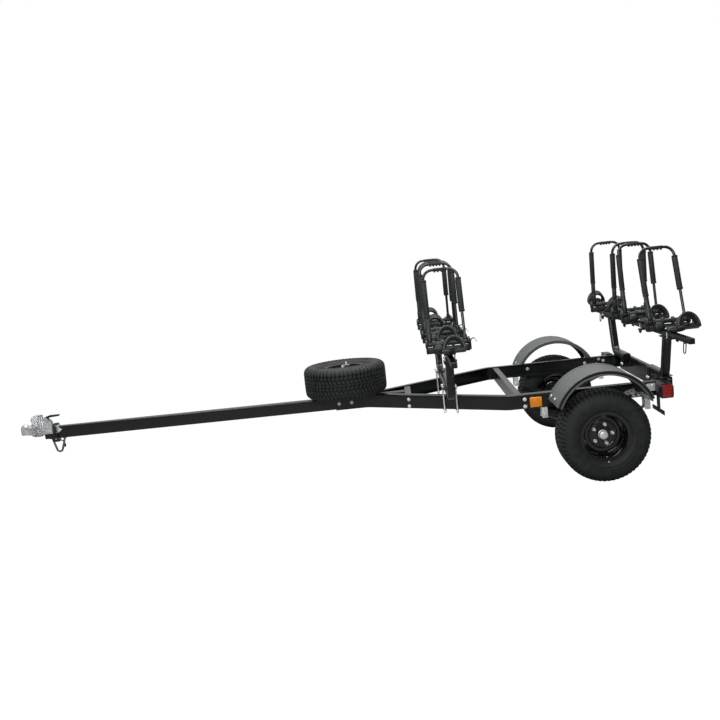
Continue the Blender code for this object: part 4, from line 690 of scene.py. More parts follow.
for side, sign in SIDES.items():
    for end, near, far in (("front", FRONT_EYE_X, 0.0), ("rear", 0.0, REAR_TIP_X)):
        bm = bmesh.new()
        for order, reach in enumerate(LEAF_REACHES):
            low_x, high_x = max(near, -reach), min(far, reach)
            middle = ((low_x + high_x) / 2, SPRING_Y, -order * (LEAF - 0.0002))
            spread = Matrix.Diagonal((high_x - low_x, LEAF_WIDTH, LEAF - 0.0004, 1))
            made = bmesh.ops.create_cube(bm, size=1, matrix=Matrix.Translation(middle) @ spread)
            lengthwise = [
                e for e in {e for v in made["verts"] for e in v.link_edges}
                if abs(e.verts[0].co.x - e.verts[1].co.x) > 1e-5
            ]
            bmesh.ops.subdivide_edges(bm, edges=lengthwise, cuts=14, use_grid_fill=True)
        for v in bm.verts:
            v.co.z += LEAF_MIDDLE_Z + LEAF_CURVE * v.co.x**2
        if end == "front":
            eye = Vector((FRONT_EYE_X, SPRING_Y, FRONT_EYE_Z))
            half = Vector((0, LEAF_WIDTH / 2, 0))
            cone(bm, eye - half, eye + half, EYE_RADIUS, EYE_RADIUS, 24)
        to_side(bm, sign)
        bmesh.ops.recalc_face_normals(bm, faces=bm.faces)
        bm.transform(TRAILER)
        mesh = mesh_of(bm, f"leaves_{end}_{side}")
        mesh.materials.append(spring_coat)
        leaves = shown(f"leaves_{end}_{side}", mesh)
        middle = Vector((0, sign * SPRING_Y, 0))
        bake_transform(leaves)
        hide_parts(f"leaf_spring_{side}")


# Wheels and spare wheel.
# Trailer tyres with small sharp tread blocks on ten-inch pressed steel rims, stoved gloss
# black. Five plated nuts hold each; a plated grease cap closes the hub.
TYRE_RADIUS = 0.2605
CARCASS_RADIUS = 0.2490
BLOCK_FOOT = 0.2480
TREADS = 62
BLOCK_SHARE = 0.62
RIB_SHARE = 0.8
WHEEL_Y = 0.6775
RIM_STEPS = 96
HUB_STEPS = 48
LUG_CIRCLE = 0.1143
LUG_TURN = -0.2702
SPARE_X = -1.4585
SPARE_Z = RAIL_TOP + 0.008 + 0.1015


def cured_rubber(name, dull, light):
    """Cured rubber: near black and matt, a little bloomed, with fine mould marks.

    The bloom is in patches of about 40 mm. The mould marks are drawn 1.7 mm wide so that they show.
    """
    finish = new_finish(name, light, 0.72, slot="tyre", Specular_IOR_Level=0.35)
    marked(
        finish, "ShaderNodeTexNoise", {"Scale": 26, "Detail": 7}, rough=(0.55, 0.80),
        tones=((0.3, colour(dull)), (0.75, colour(light))),
    )
    marked(finish, "ShaderNodeTexNoise", {"Scale": 600, "Detail": 3}, relief=(0.25, 0.0004))
    return finish


rubber = cured_rubber("cured_rubber", "#141718", "#25292a")
# The groove floors take a near-black rubber of their own, darker than the blocks': painted shade in the
# grooves.
painted_shade_groove_rubber = cured_rubber("painted_shade_groove_rubber", "#030404", "#080a0a")

# Stoved gloss enamel on pressed steel: deep black with clear highlights, which a slow wave of
# 30 mm from the pressing bends a little.
enamel = new_finish(
    "gloss_black_enamel", "#040505", 0.12, slot="black_paint", Coat_Weight=0.5, Coat_Roughness=0.05
)
marked(enamel, "ShaderNodeTexNoise", {"Scale": 35, "Detail": 4}, (0.08, 0.18), (0.05, 0.001))


def spun(bm, profile, steps, closed=True):
    """Spins a section of (radius, along Y) points round the Y axis."""
    verts = [bm.verts.new((r, y, 0)) for r, y in profile]
    pairs = list(zip(verts, verts[1:])) + ([(verts[-1], verts[0])] if closed else [])
    edges = [bm.edges.new(pair) for pair in pairs]
    bmesh.ops.spin(
        bm, geom=verts + edges, cent=(0, 0, 0), axis=(0, 1, 0), angle=2 * math.pi, steps=steps,
        use_merge=True,
    )


def ring(bm, outer, inner):
    """A ring from its section's right half: the outer line, and the inner line back."""
    outline = outer + [(r, -y) for r, y in reversed(outer) if y]
    outline += [(r, -y) for r, y in reversed(inner) if y] + inner
    spun(bm, outline, RIM_STEPS)


def tread_row(bm, outline, share, skew, offset):
    """One ring of tread blocks: an outline of (radius, y) given width, slanted and repeated."""
    before = set(bm.verts)
    face = polygon(bm, [(r, y, 0) for r, y in outline])
    step = 2 * math.pi / TREADS
    bmesh.ops.spin(bm, geom=[face], cent=(0, 0, 0), axis=(0, 1, 0), angle=step * share, steps=1)
    fresh = [v for v in bm.verts if v not in before]
    for v in fresh:
        v.co = Matrix.Rotation(offset + skew * v.co.y, 3, "Y") @ v.co
    geom = fresh + list({e for v in fresh for e in v.link_edges})
    geom += list({f for v in fresh for f in v.link_faces})
    bmesh.ops.spin(
        bm, geom=geom, cent=(0, 0, 0), axis=(0, 1, 0), angle=step * (TREADS - 1), steps=TREADS - 1,
        use_duplicate=True,
    )


def tyre(bm):
    ring(bm, [
        (0.1290, 0.0640), (0.1330, 0.0735), (0.1450, 0.0800), (0.1500, 0.0875), (0.1560, 0.0925),
        (0.1640, 0.0965), (0.1680, 0.0975), (0.1690, 0.1005), (0.1725, 0.1005), (0.1735, 0.0980),
        (0.1840, 0.0994), (0.1852, 0.1015), (0.1905, 0.1015), (0.1918, 0.0994), (0.2040, 0.0994),
        (0.2160, 0.0978), (0.2250, 0.0950), (0.2345, 0.0915), (0.2410, 0.0880), (0.2470, 0.0775),
        (0.2488, 0.0580), (0.2490, 0.0320), (CARCASS_RADIUS, 0.0),
    ], [
        (0.2440, 0.0), (0.2400, 0.0450), (0.2300, 0.0720), (0.2000, 0.0890), (0.1650, 0.0840),
        (0.1340, 0.0600),
    ])
    shoulder = [
        (TYRE_RADIUS - 0.0014, 0.0640), (0.2568, 0.0750), (0.2505, 0.0850), (0.2405, 0.0935),
        (0.2300, 0.0975), (0.2280, 0.0935), (0.2400, 0.0740), (BLOCK_FOOT, 0.0600),
        (TYRE_RADIUS - 0.0008, 0.0600),
    ]
    middle = [(0.2602, 0.0350), (0.2598, 0.0560), (BLOCK_FOOT, 0.0560), (BLOCK_FOOT, 0.0350)]
    inner = [(0.2605, 0.0105), (0.2602, 0.0300), (BLOCK_FOOT, 0.0300), (BLOCK_FOOT, 0.0105)]
    # Each row's outline, its slant in radians to the metre, and its start in radians.
    for sign in (1, -1):
        for row, skew, offset in ((shoulder, 0.0, 0.0), (middle, 1.6, 0.02), (inner, -1.6, 0.05)):
            tread_row(bm, [(r, sign * y) for r, y in row], BLOCK_SHARE, sign * skew, sign * offset)
    rib = [(TYRE_RADIUS, -0.0065), (TYRE_RADIUS, 0.0065), (BLOCK_FOOT, 0.0065), (BLOCK_FOOT, -0.0065)]
    tread_row(bm, rib, RIB_SHARE, 2.5, 0.03)


# The groove floor between the tread blocks, a ring laid over the carcass that wears the near-black groove
# rubber as painted shade.
def tread_floor(bm):
    ring(bm, [
        (0.2395, 0.0908), (0.2475, 0.0840), (0.2540, 0.0755), (0.2566, 0.0660), (0.2540, 0.0592),
        (0.2512, 0.0560), (0.2508, 0.0),
    ], [(0.2475, 0.0), (0.2470, 0.0560), (0.2440, 0.0770), (0.2390, 0.0870)])


def rim(bm):
    ring(bm, [
        (0.1432, 0.0800), (0.1440, 0.0785), (0.1415, 0.0768), (0.1330, 0.0745), (0.1285, 0.0715),
        (0.1270, 0.0680), (0.1270, 0.0440), (0.1255, 0.0412), (0.1130, 0.0300), (0.1090, 0.0275),
        (0.1080, 0.0240),
    ], [
        (0.1045, 0.0250), (0.1060, 0.0290), (0.1210, 0.0430), (0.1232, 0.0470), (0.1235, 0.0700),
        (0.1262, 0.0755), (0.1400, 0.0800),
    ])
    spun(bm, [
        (0.1050, 0.0120), (0.1030, 0.0060), (0.0985, 0.0020), (0.0930, 0.0020), (0.0840, 0.0020),
        (0.0805, 0.0050), (0.0770, 0.0062), (0.0735, 0.0050), (0.0712, 0.0020), (0.0460, 0.0020),
        (0.0400, 0.0040), (0.0345, 0.0040), (0.0332, 0.0020), (0.0332, -0.0018), (0.0712, -0.0018),
        (0.0770, 0.0020), (0.0850, -0.0020), (0.1000, -0.0020), (0.1045, 0.0020), (0.1060, 0.0100),
    ], RIM_STEPS)


def valve(bm):
    foot, tip = Vector((0.006, 0.049, -0.1245)), Vector((0.006, 0.086, -0.1465))
    for low, high, wide, narrow in (
        (0.0, 0.6, 0.0052, 0.0040), (0.6, 0.66, 0.0044, 0.0044), (0.66, 1.0, 0.0042, 0.0036),
    ):
        cone(bm, foot.lerp(tip, low), foot.lerp(tip, high), wide, narrow, 14)


def hub(bm):
    spun(bm, [
        (0.0, 0.0105), (0.0255, 0.0105), (0.0320, 0.0090), (0.0325, 0.0024), (0.0700, -0.0023),
        (0.0700, -0.0113), (0.0340, -0.0150), (0.0340, -0.0520), (0.0, -0.0520),
    ], HUB_STEPS, closed=False)


def grease_cap(bm):
    spun(bm, [
        (0.0, 0.0410), (0.0120, 0.0408), (0.0195, 0.0396), (0.0235, 0.0368), (0.0252, 0.0330),
        (0.0254, 0.0150), (0.0275, 0.0135), (0.0278, 0.0108), (0.0, 0.0108),
    ], HUB_STEPS, closed=False)


def lug_nuts(bm):
    for i in range(5):
        a = LUG_TURN + math.pi / 2 + 2 * math.pi * i / 5
        x, z = LUG_CIRCLE / 2 * math.cos(a), LUG_CIRCLE / 2 * math.sin(a)
        for wide, narrow, low, high, sides in (
            (0.0108, 0.0094, 0.0022, 0.0060, 24), (0.0094, 0.0094, 0.0060, 0.0160, 6),
            (0.0094, 0.0078, 0.0160, 0.0182, 6), (0.0056, 0.0050, 0.0182, 0.0232, 14),
        ):
            cone(bm, (x, low, z), (x, high, z), wide, narrow, sides)


wheel_pieces = [
    ("tread_tyre", tyre, rubber, "tyre", 40),
    # The tread floor wears the near-black groove rubber: painted shade between the blocks.
    ("tread_floor", tread_floor, painted_shade_groove_rubber, None, 40),
    ("pressed_rim", rim, enamel, "rim", 40),
    ("valve", valve, zinc, None, 40),
]
hub_pieces = [
    ("hub", hub, black_coat, "hub", 40),
    ("grease_cap", grease_cap, zinc, None, 40),
    ("wheel_nuts", lug_nuts, zinc, None, 30),
]
standing = Matrix.Translation((0, WHEEL_Y, 0))
lying = Matrix.Translation((SPARE_X, 0, SPARE_Z)) @ Matrix.Rotation(math.pi / 2, 4, "X")
wheel_sets = [
    (side, f"wheel_{side}", standing, sign, "{}_" + side, wheel_pieces + hub_pieces)
    for side, sign in SIDES.items()
]
wheel_sets.append(("spare", "frame", lying, 1, "spare_{}", wheel_pieces))
for label, body, lie, sign, node_name, pieces in wheel_sets:
    for name, make, finish, node, smooth in pieces:
        bm = bmesh.new()
        make(bm)
        bm.transform(lie)
        nodes = [node_name.format(node)] if node else ()
        placed(bm, f"{name}_{label}", finish, nodes, smooth, sign, body=body)

# The spare's carrier, a zinc-plated post and plate with its nuts, comes from the CAD.
coat(rod_zinc, "spare_carrier")


# Fenders.
# Vacuum-formed black plastic with a grained face, a stepped border and a rolled outer lip,
# bolted to the rail in front and held by zinc straps behind.
FENDER_RADIUS = 0.2929
FENDER_CENTRE_Z = 0.0951
FENDER_END_Z = 0.2066
FENDER_INNER_Y = HALF_FRAME + FIT
FENDER_OUTER_Y = 0.823
FENDER_SHEET = 0.003
FENDER_STEPS = 56
STRAP_LINE = (
    (0.160, 0.172), (0.171, 0.200), (0.230, 0.219), (0.246, 0.197), (0.246, 0.165), (0.222, 0.165),
    (0.214, 0.187),
)
STRAP_HOLES = ((0.178, 0.186), (0.198, 0.195), (0.218, 0.202), (0.235, 0.180))
STRAP_HOLE_RADIUS = 0.0042
STRAP_WALL = 0.003

# Grained ABS: dark grey, with its leather-like grain of 2 mm painted lighter on the ridges as a
# painted highlight, and duller in patches of about 110 mm.
grained = new_finish("grained_abs", "#232526", 0.52, slot="black_plastic", Specular_IOR_Level=0.6)
# The grain's colour goes lighter towards its raised ridges: painted highlight on real relief.
marked(
    grained, "ShaderNodeTexVoronoi", {"Scale": 520}, relief=(0.35, 0.0005),
    tones=((0.0, colour("#1f2324")), (1.0, colour("#5b5d5d"))),
)
marked(grained, "ShaderNodeTexNoise", {"Scale": 9, "Detail": 6}, rough=(0.42, 0.62))

# Moulded ABS: smoother and glossier than the grained sheet. Its fine texture is drawn 1.4 mm
# wide so that it shows, with haze in patches of about 70 mm.
moulded = new_finish("moulded_black_abs", "#0d1011", 0.34, slot="black_plastic")
marked(moulded, "ShaderNodeTexNoise", {"Scale": 700, "Detail": 2}, relief=(0.3, 0.0004))
marked(moulded, "ShaderNodeTexNoise", {"Scale": 14, "Detail": 5}, rough=(0.24, 0.40))

# Sections of (depth under the crown, y), carried round the wheel by one spin.
fender_line = [
    (0.0240, FENDER_INNER_Y), (0.0030, FENDER_INNER_Y), (0.0, FENDER_INNER_Y + FENDER_SHEET),
    (0.0, 0.5700), (0.0035, 0.5730), (0.0035, 0.7800), (0.0, 0.7830), (0.0, 0.8110),
    (0.0015, 0.8155), (0.0045, 0.8165), (0.0065, 0.8160), (0.0065, 0.8090),
    (0.0035, 0.8075), (0.0032, 0.7840), (0.0065, 0.7805), (0.0065, 0.5725), (0.0032, 0.5695),
    (0.0030, FENDER_INNER_Y + FENDER_SHEET), (0.0240, FENDER_INNER_Y + FENDER_SHEET),
]
lip_line = [
    (0.0062, 0.8150), (0.0095, 0.8115), (0.0205, 0.8110), (0.0205, 0.8082), (0.0080, 0.8082),
    (0.0062, 0.8085),
]
bead_line = [
    (0.0190, 0.8100), (0.0188, 0.8195), (0.0198, 0.8220), (0.0222, FENDER_OUTER_Y),
    (0.0262, FENDER_OUTER_Y), (0.0280, 0.8220), (0.0285, 0.8195), (0.0285, 0.8150),
    (0.0260, 0.8115), (0.0220, 0.8090),
]
fender_start = math.asin((FENDER_END_Z - FENDER_CENTRE_Z) / FENDER_RADIUS)
fender_centre = Vector((0, 0, FENDER_CENTRE_Z))


def fender_ray(angle):
    """The way from the fender's centre at an angle above the rear."""
    return Vector((math.cos(angle), 0, math.sin(angle)))


for side, sign in SIDES.items():
    for name, line, finish, nodes in (
        ("grained_fender", fender_line, grained, [f"fender_{side}"]),
        ("fender_lip", lip_line, moulded, ()), ("fender_bead", bead_line, grained, ()),
    ):
        bm = bmesh.new()
        face = polygon(bm, [
            fender_centre + fender_ray(fender_start) * (FENDER_RADIUS - d) + Vector((0, y, 0))
            for d, y in line
        ])
        sweep = math.pi - 2 * fender_start
        drawn(bm, face, [(fender_centre, Vector((0, -1, 0)), sweep, FENDER_STEPS)])
        if nodes:
            block(bm, (-0.262, FENDER_INNER_Y, 0.184), (-0.214, FENDER_INNER_Y + FENDER_SHEET, 0.232))
        placed(bm, f"{name}_{side}", finish, nodes, 30, sign)

    bm = bmesh.new()
    for x, z in ((-0.247, 0.209), (-0.228, 0.196)):
        bolt(bm, (x, FENDER_INNER_Y + FENDER_SHEET, z), (0, 1, 0), 0.007, 0.0055, 0.010)
    ray = fender_ray(math.pi - fender_start - 0.1)
    for y in (0.60, 0.70):
        spot = fender_centre + ray * FENDER_RADIUS + Vector((0, y, 0))
        bolt(bm, spot, ray, 0.006, 0.0045, 0.009)
    placed(bm, f"fender_bolts_{side}", zinc, sign=sign)

# A pierced steel strap ties each fender's inner wall back to the rail.
for side, sign in SIDES.items():
    bm = bmesh.new()
    corners = [bm.verts.new((x, FENDER_INNER_Y, z)) for x, z in STRAP_LINE]
    edges = [bm.edges.new(pair) for pair in zip(corners, corners[1:] + corners[:1])]
    for x, z in STRAP_HOLES:
        rim_verts = bmesh.ops.create_circle(
            bm, cap_ends=False, segments=16, radius=STRAP_HOLE_RADIUS,
            matrix=aimed((x, FENDER_INNER_Y, z), (0, 1, 0)),
        )["verts"]
        edges += list({e for v in rim_verts for e in v.link_edges})
    filled = bmesh.ops.triangle_fill(
        bm, use_beauty=True, use_dissolve=False, edges=edges, normal=(0, 1, 0)
    )
    sheet = [f for f in filled["geom"] if isinstance(f, bmesh.types.BMFace)]
    raised = bmesh.ops.extrude_face_region(bm, geom=sheet)["geom"]
    raised = [g for g in raised if isinstance(g, bmesh.types.BMVert)]
    bmesh.ops.translate(bm, verts=raised, vec=(0, STRAP_WALL, 0))
    placed(bm, f"brace_strap_{side}", zinc, sign=sign)
coat(zinc, "fender_brace_left", "fender_brace_right")


# Lights.
# Moulded acrylic lenses with prism ribs inside: an amber reflector lamp on each rail, and a
# box-shaped tail lamp whose red lens wraps round its black housing.
LAMP_FACE = HALF_FRAME + FIT
MARKER_X = -0.343
MARKER_Z = 0.1973
MARKER_RIBS = 4
TAIL_FRONT_X, TAIL_REAR_X = 0.352, 0.430
TAIL_LOW_Z, TAIL_HIGH_Z = 0.166, 0.252
TAIL_INNER_Y = LAMP_FACE + 0.010
TAIL_OUTER_Y = TAIL_INNER_Y + 0.112
TAIL_LENS = 0.010
TAIL_RIBS = 7
TAIL_BACK_X = TAIL_REAR_X - TAIL_LENS
TAIL_SKIN_Y = TAIL_OUTER_Y - TAIL_LENS
PLATE_BAR_HALF = 0.105
PLATE_BAR_LOW_Z = 0.079


def lens_finish(name, base, deep, slot):
    """Tinted clear acrylic over a bright back of 6 mm prisms, drawn as a coloured gloss skin."""
    finish = new_finish(name, base, 0.22, slot=slot, Coat_Weight=0.4, Coat_Roughness=0.05)
    marked(
        finish, "ShaderNodeTexVoronoi", {"Scale": 170}, relief=(0.3, 0.001),
        tones=((0.0, colour(base)), (0.75, colour(deep))), distance="CHEBYCHEV",
    )
    return finish


def barrel(bm, start, end, radius, round_edge=0.002, sides=28):
    """A short round boss with its rims rounded."""
    start, end = Vector(start), Vector(end)
    face = disc(bm, start, end - start, radius, sides)
    last = pulled(bm, face, *(end - start))
    if round_edge:
        bevel(bm, [e for f in (face, last) if f.is_valid for e in f.edges], round_edge)


def marker_block(bm, xs, ys, half_z, edge=0.001, steps=2):
    """One block of the side marker, measured from the marker's middle and the rail's face."""
    block(bm, (MARKER_X + xs[0], LAMP_FACE + ys[0], MARKER_Z - half_z),
          (MARKER_X + xs[1], LAMP_FACE + ys[1], MARKER_Z + half_z), edge, steps)


def tail_block(bm, xs, ys, zs, edge=0.0012, steps=2):
    """One block of the tail lamp, from its three pairs of limits."""
    block(bm, (xs[0], ys[0], zs[0]), (xs[1], ys[1], zs[1]), edge, steps)


amber = lens_finish("amber_acrylic", "#f79a02", "#c46a00", "amber_lens")
red = lens_finish("red_acrylic", "#b01812", "#5a0606", "red_lamp")
for side, sign in SIDES.items():
    bm = bmesh.new()
    marker_block(bm, (-0.036, 0.036), (0, 0.006), 0.030, 0.0015)
    placed(bm, f"marker_base_{side}", moulded, [f"side_marker_{side}"], sign=sign)
    bm = bmesh.new()
    marker_block(bm, (-0.0345, 0.0345), (0.004, 0.0145), 0.0285, 0.003, 3)
    marker_block(bm, (-0.011, 0.030), (0.010, 0.0158), 0.019, 0.0012)
    for i in range(MARKER_RIBS):
        x = -0.031 + i * 0.0045
        marker_block(bm, (x, x + 0.0022), (0.010, 0.0155), 0.025, 0.0007, 1)
    placed(bm, f"marker_lens_{side}", amber, sign=sign)

for side, sign in SIDES.items():
    # The tail housing's outline from the side: its top falls away to both ends.
    bm = bmesh.new()
    shell = [
        (TAIL_FRONT_X, TAIL_LOW_Z), (TAIL_BACK_X, TAIL_LOW_Z), (TAIL_BACK_X, TAIL_HIGH_Z - 0.016),
        (TAIL_BACK_X - 0.014, TAIL_HIGH_Z), (TAIL_FRONT_X + 0.016, TAIL_HIGH_Z),
        (TAIL_FRONT_X, TAIL_HIGH_Z - 0.018),
    ]
    face = polygon(bm, [(x, TAIL_INNER_Y, z) for x, z in shell])
    face = rounded(bm, face, lambda co: True, 0.003, 2)
    last = pulled(bm, face, 0, TAIL_SKIN_Y - TAIL_INNER_Y, 0)
    bevel(bm, list(last.edges), 0.003)
    # A frame stands out round the side lens and hides its edges.
    left, right = TAIL_FRONT_X + 0.003, TAIL_BACK_X
    for xs, zs in (
        ((left, TAIL_FRONT_X + 0.0085), (TAIL_LOW_Z, TAIL_HIGH_Z - 0.020)),
        ((right - 0.0045, right + 0.001), (TAIL_LOW_Z, TAIL_HIGH_Z - 0.020)),
        ((left, right - 0.012), (TAIL_HIGH_Z - 0.0085, TAIL_HIGH_Z - 0.002)),
        ((left, right), (TAIL_LOW_Z, TAIL_LOW_Z + 0.004)),
    ):
        tail_block(bm, xs, (TAIL_SKIN_Y - 0.004, TAIL_OUTER_Y), zs)
    tail_block(bm, (TAIL_FRONT_X + 0.004, TAIL_FRONT_X + 0.034), (LAMP_FACE, TAIL_INNER_Y + 0.002),
               (0.1722, 0.2344), 0.001)
    if side == "left":
        # The number plate hangs from a bar under the left lamp.
        middle = (TAIL_INNER_Y + TAIL_OUTER_Y) / 2
        front = TAIL_FRONT_X - 0.006
        tail_block(bm, (front, front + 0.008), (middle - 0.020, middle + 0.020),
                   (PLATE_BAR_LOW_Z, TAIL_LOW_Z + 0.040))
        tail_block(bm, (front, front + 0.004), (middle - PLATE_BAR_HALF, middle + PLATE_BAR_HALF),
                   (PLATE_BAR_LOW_Z, PLATE_BAR_LOW_Z + 0.026))
    placed(bm, f"tail_housing_{side}", moulded, [f"tail_light_{side}"], sign=sign)

    # The side lens with its reflector panes, and the rear lens with its ribs.
    bm = bmesh.new()
    lens_low, lens_high = TAIL_LOW_Z + 0.004, TAIL_HIGH_Z - 0.008
    tail_block(bm, (TAIL_FRONT_X + 0.008, TAIL_BACK_X - 0.004), (TAIL_SKIN_Y - 0.001, TAIL_OUTER_Y - 0.0015),
               (lens_low, lens_high), 0.002)
    tail_block(bm, (TAIL_BACK_X - 0.001, TAIL_REAR_X - 0.001), (TAIL_INNER_Y + 0.008, TAIL_SKIN_Y - 0.008),
               (lens_low, lens_high - 0.010), 0.002)
    centre = Vector((
        (TAIL_FRONT_X + TAIL_BACK_X) / 2 + 0.002, TAIL_OUTER_Y - 0.0020, (lens_low + lens_high) / 2
    ))
    barrel(bm, centre, centre + Vector((0, 0.0020, 0)), 0.0085, 0.0006, 24)
    for across, up in ((-1, -1), (-1, 1), (1, -1), (1, 1)):
        pane = centre + Vector((across * 0.0145, 0.0004, up * 0.0185))
        around(bm, pane, (0.0105, 0.0014, 0.0125), 0.0012)
    for i in range(TAIL_RIBS):
        y = TAIL_INNER_Y + 0.016 + i * 0.012
        tail_block(bm, (TAIL_REAR_X - 0.002, TAIL_REAR_X), (y, y + 0.005),
                   (lens_low + 0.006, lens_high - 0.016), 0.0008, 1)
    placed(bm, f"tail_lens_{side}", red, sign=sign)

    # The lamp's zinc fixing plate on the rail.
    bm = bmesh.new()
    face = polygon(bm, [(TAIL_FRONT_X + a, LAMP_FACE, z) for a, z in (
        (-0.054, 0.192), (0.030, 0.192), (0.030, 0.236), (-0.040, 0.236), (-0.054, 0.222),
    )])
    pulled(bm, face, 0, 0.004, 0)
    for a, z in ((-0.040, 0.206), (-0.014, 0.222)):
        bolt(bm, (TAIL_FRONT_X + a, LAMP_FACE + 0.004, z), (0, 1, 0), 0.0065, 0.005, 0.009)
    placed(bm, f"tail_lamp_plate_{side}", zinc, sign=sign)


# Risers.
# Square steel tube bent to carry the load bars: one wide U across the rails in front, and
# two L-shaped posts behind, each clamped down with plates and long zinc bolts.
RISER_TUBE = 0.046
RISER_HALF = RISER_TUBE / 2
RISER_CORNER = 0.009
RISER_BEND = 0.062
RISER_SPLAY = math.radians(16.7)
FRONT_BAR_X, REAR_BAR_X = -0.8235, 0.4264
BARS = (("front", FRONT_BAR_X), ("rear", REAR_BAR_X))
BAR_HALF = 0.0318 / 2
CROSSBAR_Z = 0.527
CROSSBAR_LENGTH = 1.981
SADDLE_PLATE = 0.005
PLATE_HALF = 0.050
FOOT_Z = RAIL_TOP + FIT + RISER_HALF
HEAD_Z = CROSSBAR_Z - BAR_HALF - FIT - SADDLE_PLATE
CLAMP_PLATE = 0.006
CLAMP_HALF_X = RISER_HALF + 0.022
REAR_FOOT_Y = 0.245
CLAMP_BOLT = (0.0078, 0.0065, 0.0098)
CLAMP_ROD = 0.0046
BRACKET = 0.005


def riser_y(z):
    """How far out a riser's leg is at a height."""
    return 0.5284 + math.tan(RISER_SPLAY) * (z - 0.300)


def square_tube(bm, route, width, corner, bend):
    """A rounded square tube from the first point of its route to the last."""
    before = set(bm.faces)
    made = bmesh.ops.create_grid(
        bm, x_segments=1, y_segments=1, size=width / 2,
        matrix=aimed(route[0], Vector(route[1]) - Vector(route[0]), "Z", "X"),
    )
    bevel(bm, made["verts"], corner, 4, "VERTICES")
    face = [f for f in bm.faces if f not in before][0]
    drawn(bm, face, moves_along(route, bend, 10))


def head_plate(bm, x, sign):
    """The saddle plate on a post's head, cut level under the load bar."""
    y = sign * riser_y(HEAD_Z)
    block(bm, (x - 0.030, y - PLATE_HALF, HEAD_Z - 0.002),
          (x + 0.030, y + PLATE_HALF, HEAD_Z + SADDLE_PLATE), 0.0012)


front_bm, bolts_bm = bmesh.new(), bmesh.new()
square_tube(front_bm, [
    (FRONT_BAR_X, -riser_y(HEAD_Z), HEAD_Z), (FRONT_BAR_X, -riser_y(FOOT_Z), FOOT_Z),
    (FRONT_BAR_X, riser_y(FOOT_Z), FOOT_Z), (FRONT_BAR_X, riser_y(HEAD_Z), HEAD_Z),
], RISER_TUBE, RISER_CORNER, RISER_BEND)
tube_top = FOOT_Z + RISER_HALF
rail_under = rail_low - FIT
for sign in SIDES.values():
    head_plate(front_bm, FRONT_BAR_X, sign)
    places = []
    for end in (-1, 1):
        x = FRONT_BAR_X + end * (CLAMP_HALF_X - 0.008)
        places.append((x, rail_y(x) + 0.009))
        places.append((x, rail_y(x) - RAIL_FLANGE / math.cos(SPLAY) - 0.009))
    near_y = sign * (min(y for x, y in places) - 0.010)
    far_y = sign * (max(y for x, y in places) + 0.010)
    block(front_bm, (FRONT_BAR_X - CLAMP_HALF_X, near_y, tube_top - 0.0005),
          (FRONT_BAR_X + CLAMP_HALF_X, far_y, tube_top + CLAMP_PLATE), 0.0015)
    for end in (-1, 1):
        x = FRONT_BAR_X + end * (CLAMP_HALF_X - 0.009)
        block(bolts_bm, (x - 0.009, near_y, rail_under - CLAMP_PLATE), (x + 0.009, far_y, rail_under), 0.0015)
    for x, y in places:
        spot = Vector((x, sign * y, 0))
        top, under = spot + Vector((0, 0, tube_top)), spot + Vector((0, 0, rail_under))
        cone(bolts_bm, under - Vector((0, 0, 0.020)), top + Vector((0, 0, 0.014)), CLAMP_ROD, CLAMP_ROD, 14)
        bolt(bolts_bm, top + Vector((0, 0, CLAMP_PLATE)), (0, 0, 1), *CLAMP_BOLT)
        bolt(bolts_bm, under - Vector((0, 0, CLAMP_PLATE)), (0, 0, -1), *CLAMP_BOLT)
placed(front_bm, "front_u_riser", black_coat, ["riser_front"])

front_x = REAR_BAR_X - RISER_HALF
low_z = RAIL_TOP - 0.046
for side, sign in SIDES.items():
    bm = bmesh.new()
    square_tube(bm, [
        (REAR_BAR_X, REAR_FOOT_Y, FOOT_Z), (REAR_BAR_X, riser_y(FOOT_Z), FOOT_Z),
        (REAR_BAR_X, riser_y(HEAD_Z), HEAD_Z),
    ], RISER_TUBE, RISER_CORNER, RISER_BEND)
    head_plate(bm, REAR_BAR_X, 1)
    # A folded bracket hooks the foot to the rear crossmember.
    for xs, zs in (
        ((front_x - BRACKET, front_x + 0.001), (low_z, RAIL_TOP + 0.040)),
        ((front_x - BRACKET, RAIL_REAR_X), (low_z, low_z + BRACKET)),
        ((RAIL_REAR_X - BRACKET, RAIL_REAR_X), (low_z, RAIL_TOP + 0.004)),
    ):
        block(bm, (xs[0], REAR_FOOT_Y + 0.004, zs[0]), (xs[1], REAR_FOOT_Y + 0.062, zs[1]))
    placed(bm, f"rear_l_riser_{side}", black_coat, [f"riser_rear_{side}"], sign=sign)
    for y in (0.264, 0.292):
        bolt(bolts_bm, (front_x - BRACKET, sign * y, RAIL_TOP - 0.025), (-1, 0, 0), 0.0075, 0.006, 0.0095)
    for place, x in BARS:
        for shift in (-1, 1):
            y = sign * riser_y(HEAD_Z) + shift * (PLATE_HALF - 0.011)
            bolt(bolts_bm, (x, y, HEAD_Z - 0.002), (0, 0, -1), 0.0085, 0.007, 0.011, 0.006)
placed(bolts_bm, "riser_bolts", zinc)


# Load bars and tie rings.
# Two square steel bars with moulded caps in their ends; near each end a welded sleeve
# carries a loose ring of zinc-plated wire for the tie-down strap.
BAR_END = CROSSBAR_LENGTH / 2
BAR_CUT = BAR_END - 0.006
TIE_Y = 0.880
TIE_SLEEVE = 0.0062
SLEEVE_HALF = 0.010
SLEEVE_Z = CROSSBAR_Z - BAR_HALF - TIE_SLEEVE + 0.001
RING_WIRE = 0.0029
RING_HALF = 0.018
RING_DROP = 0.058
RING_GAP = 0.008
RING_BENDS = (0.006, RING_HALF - 0.0002, RING_HALF - 0.0002, 0.006)

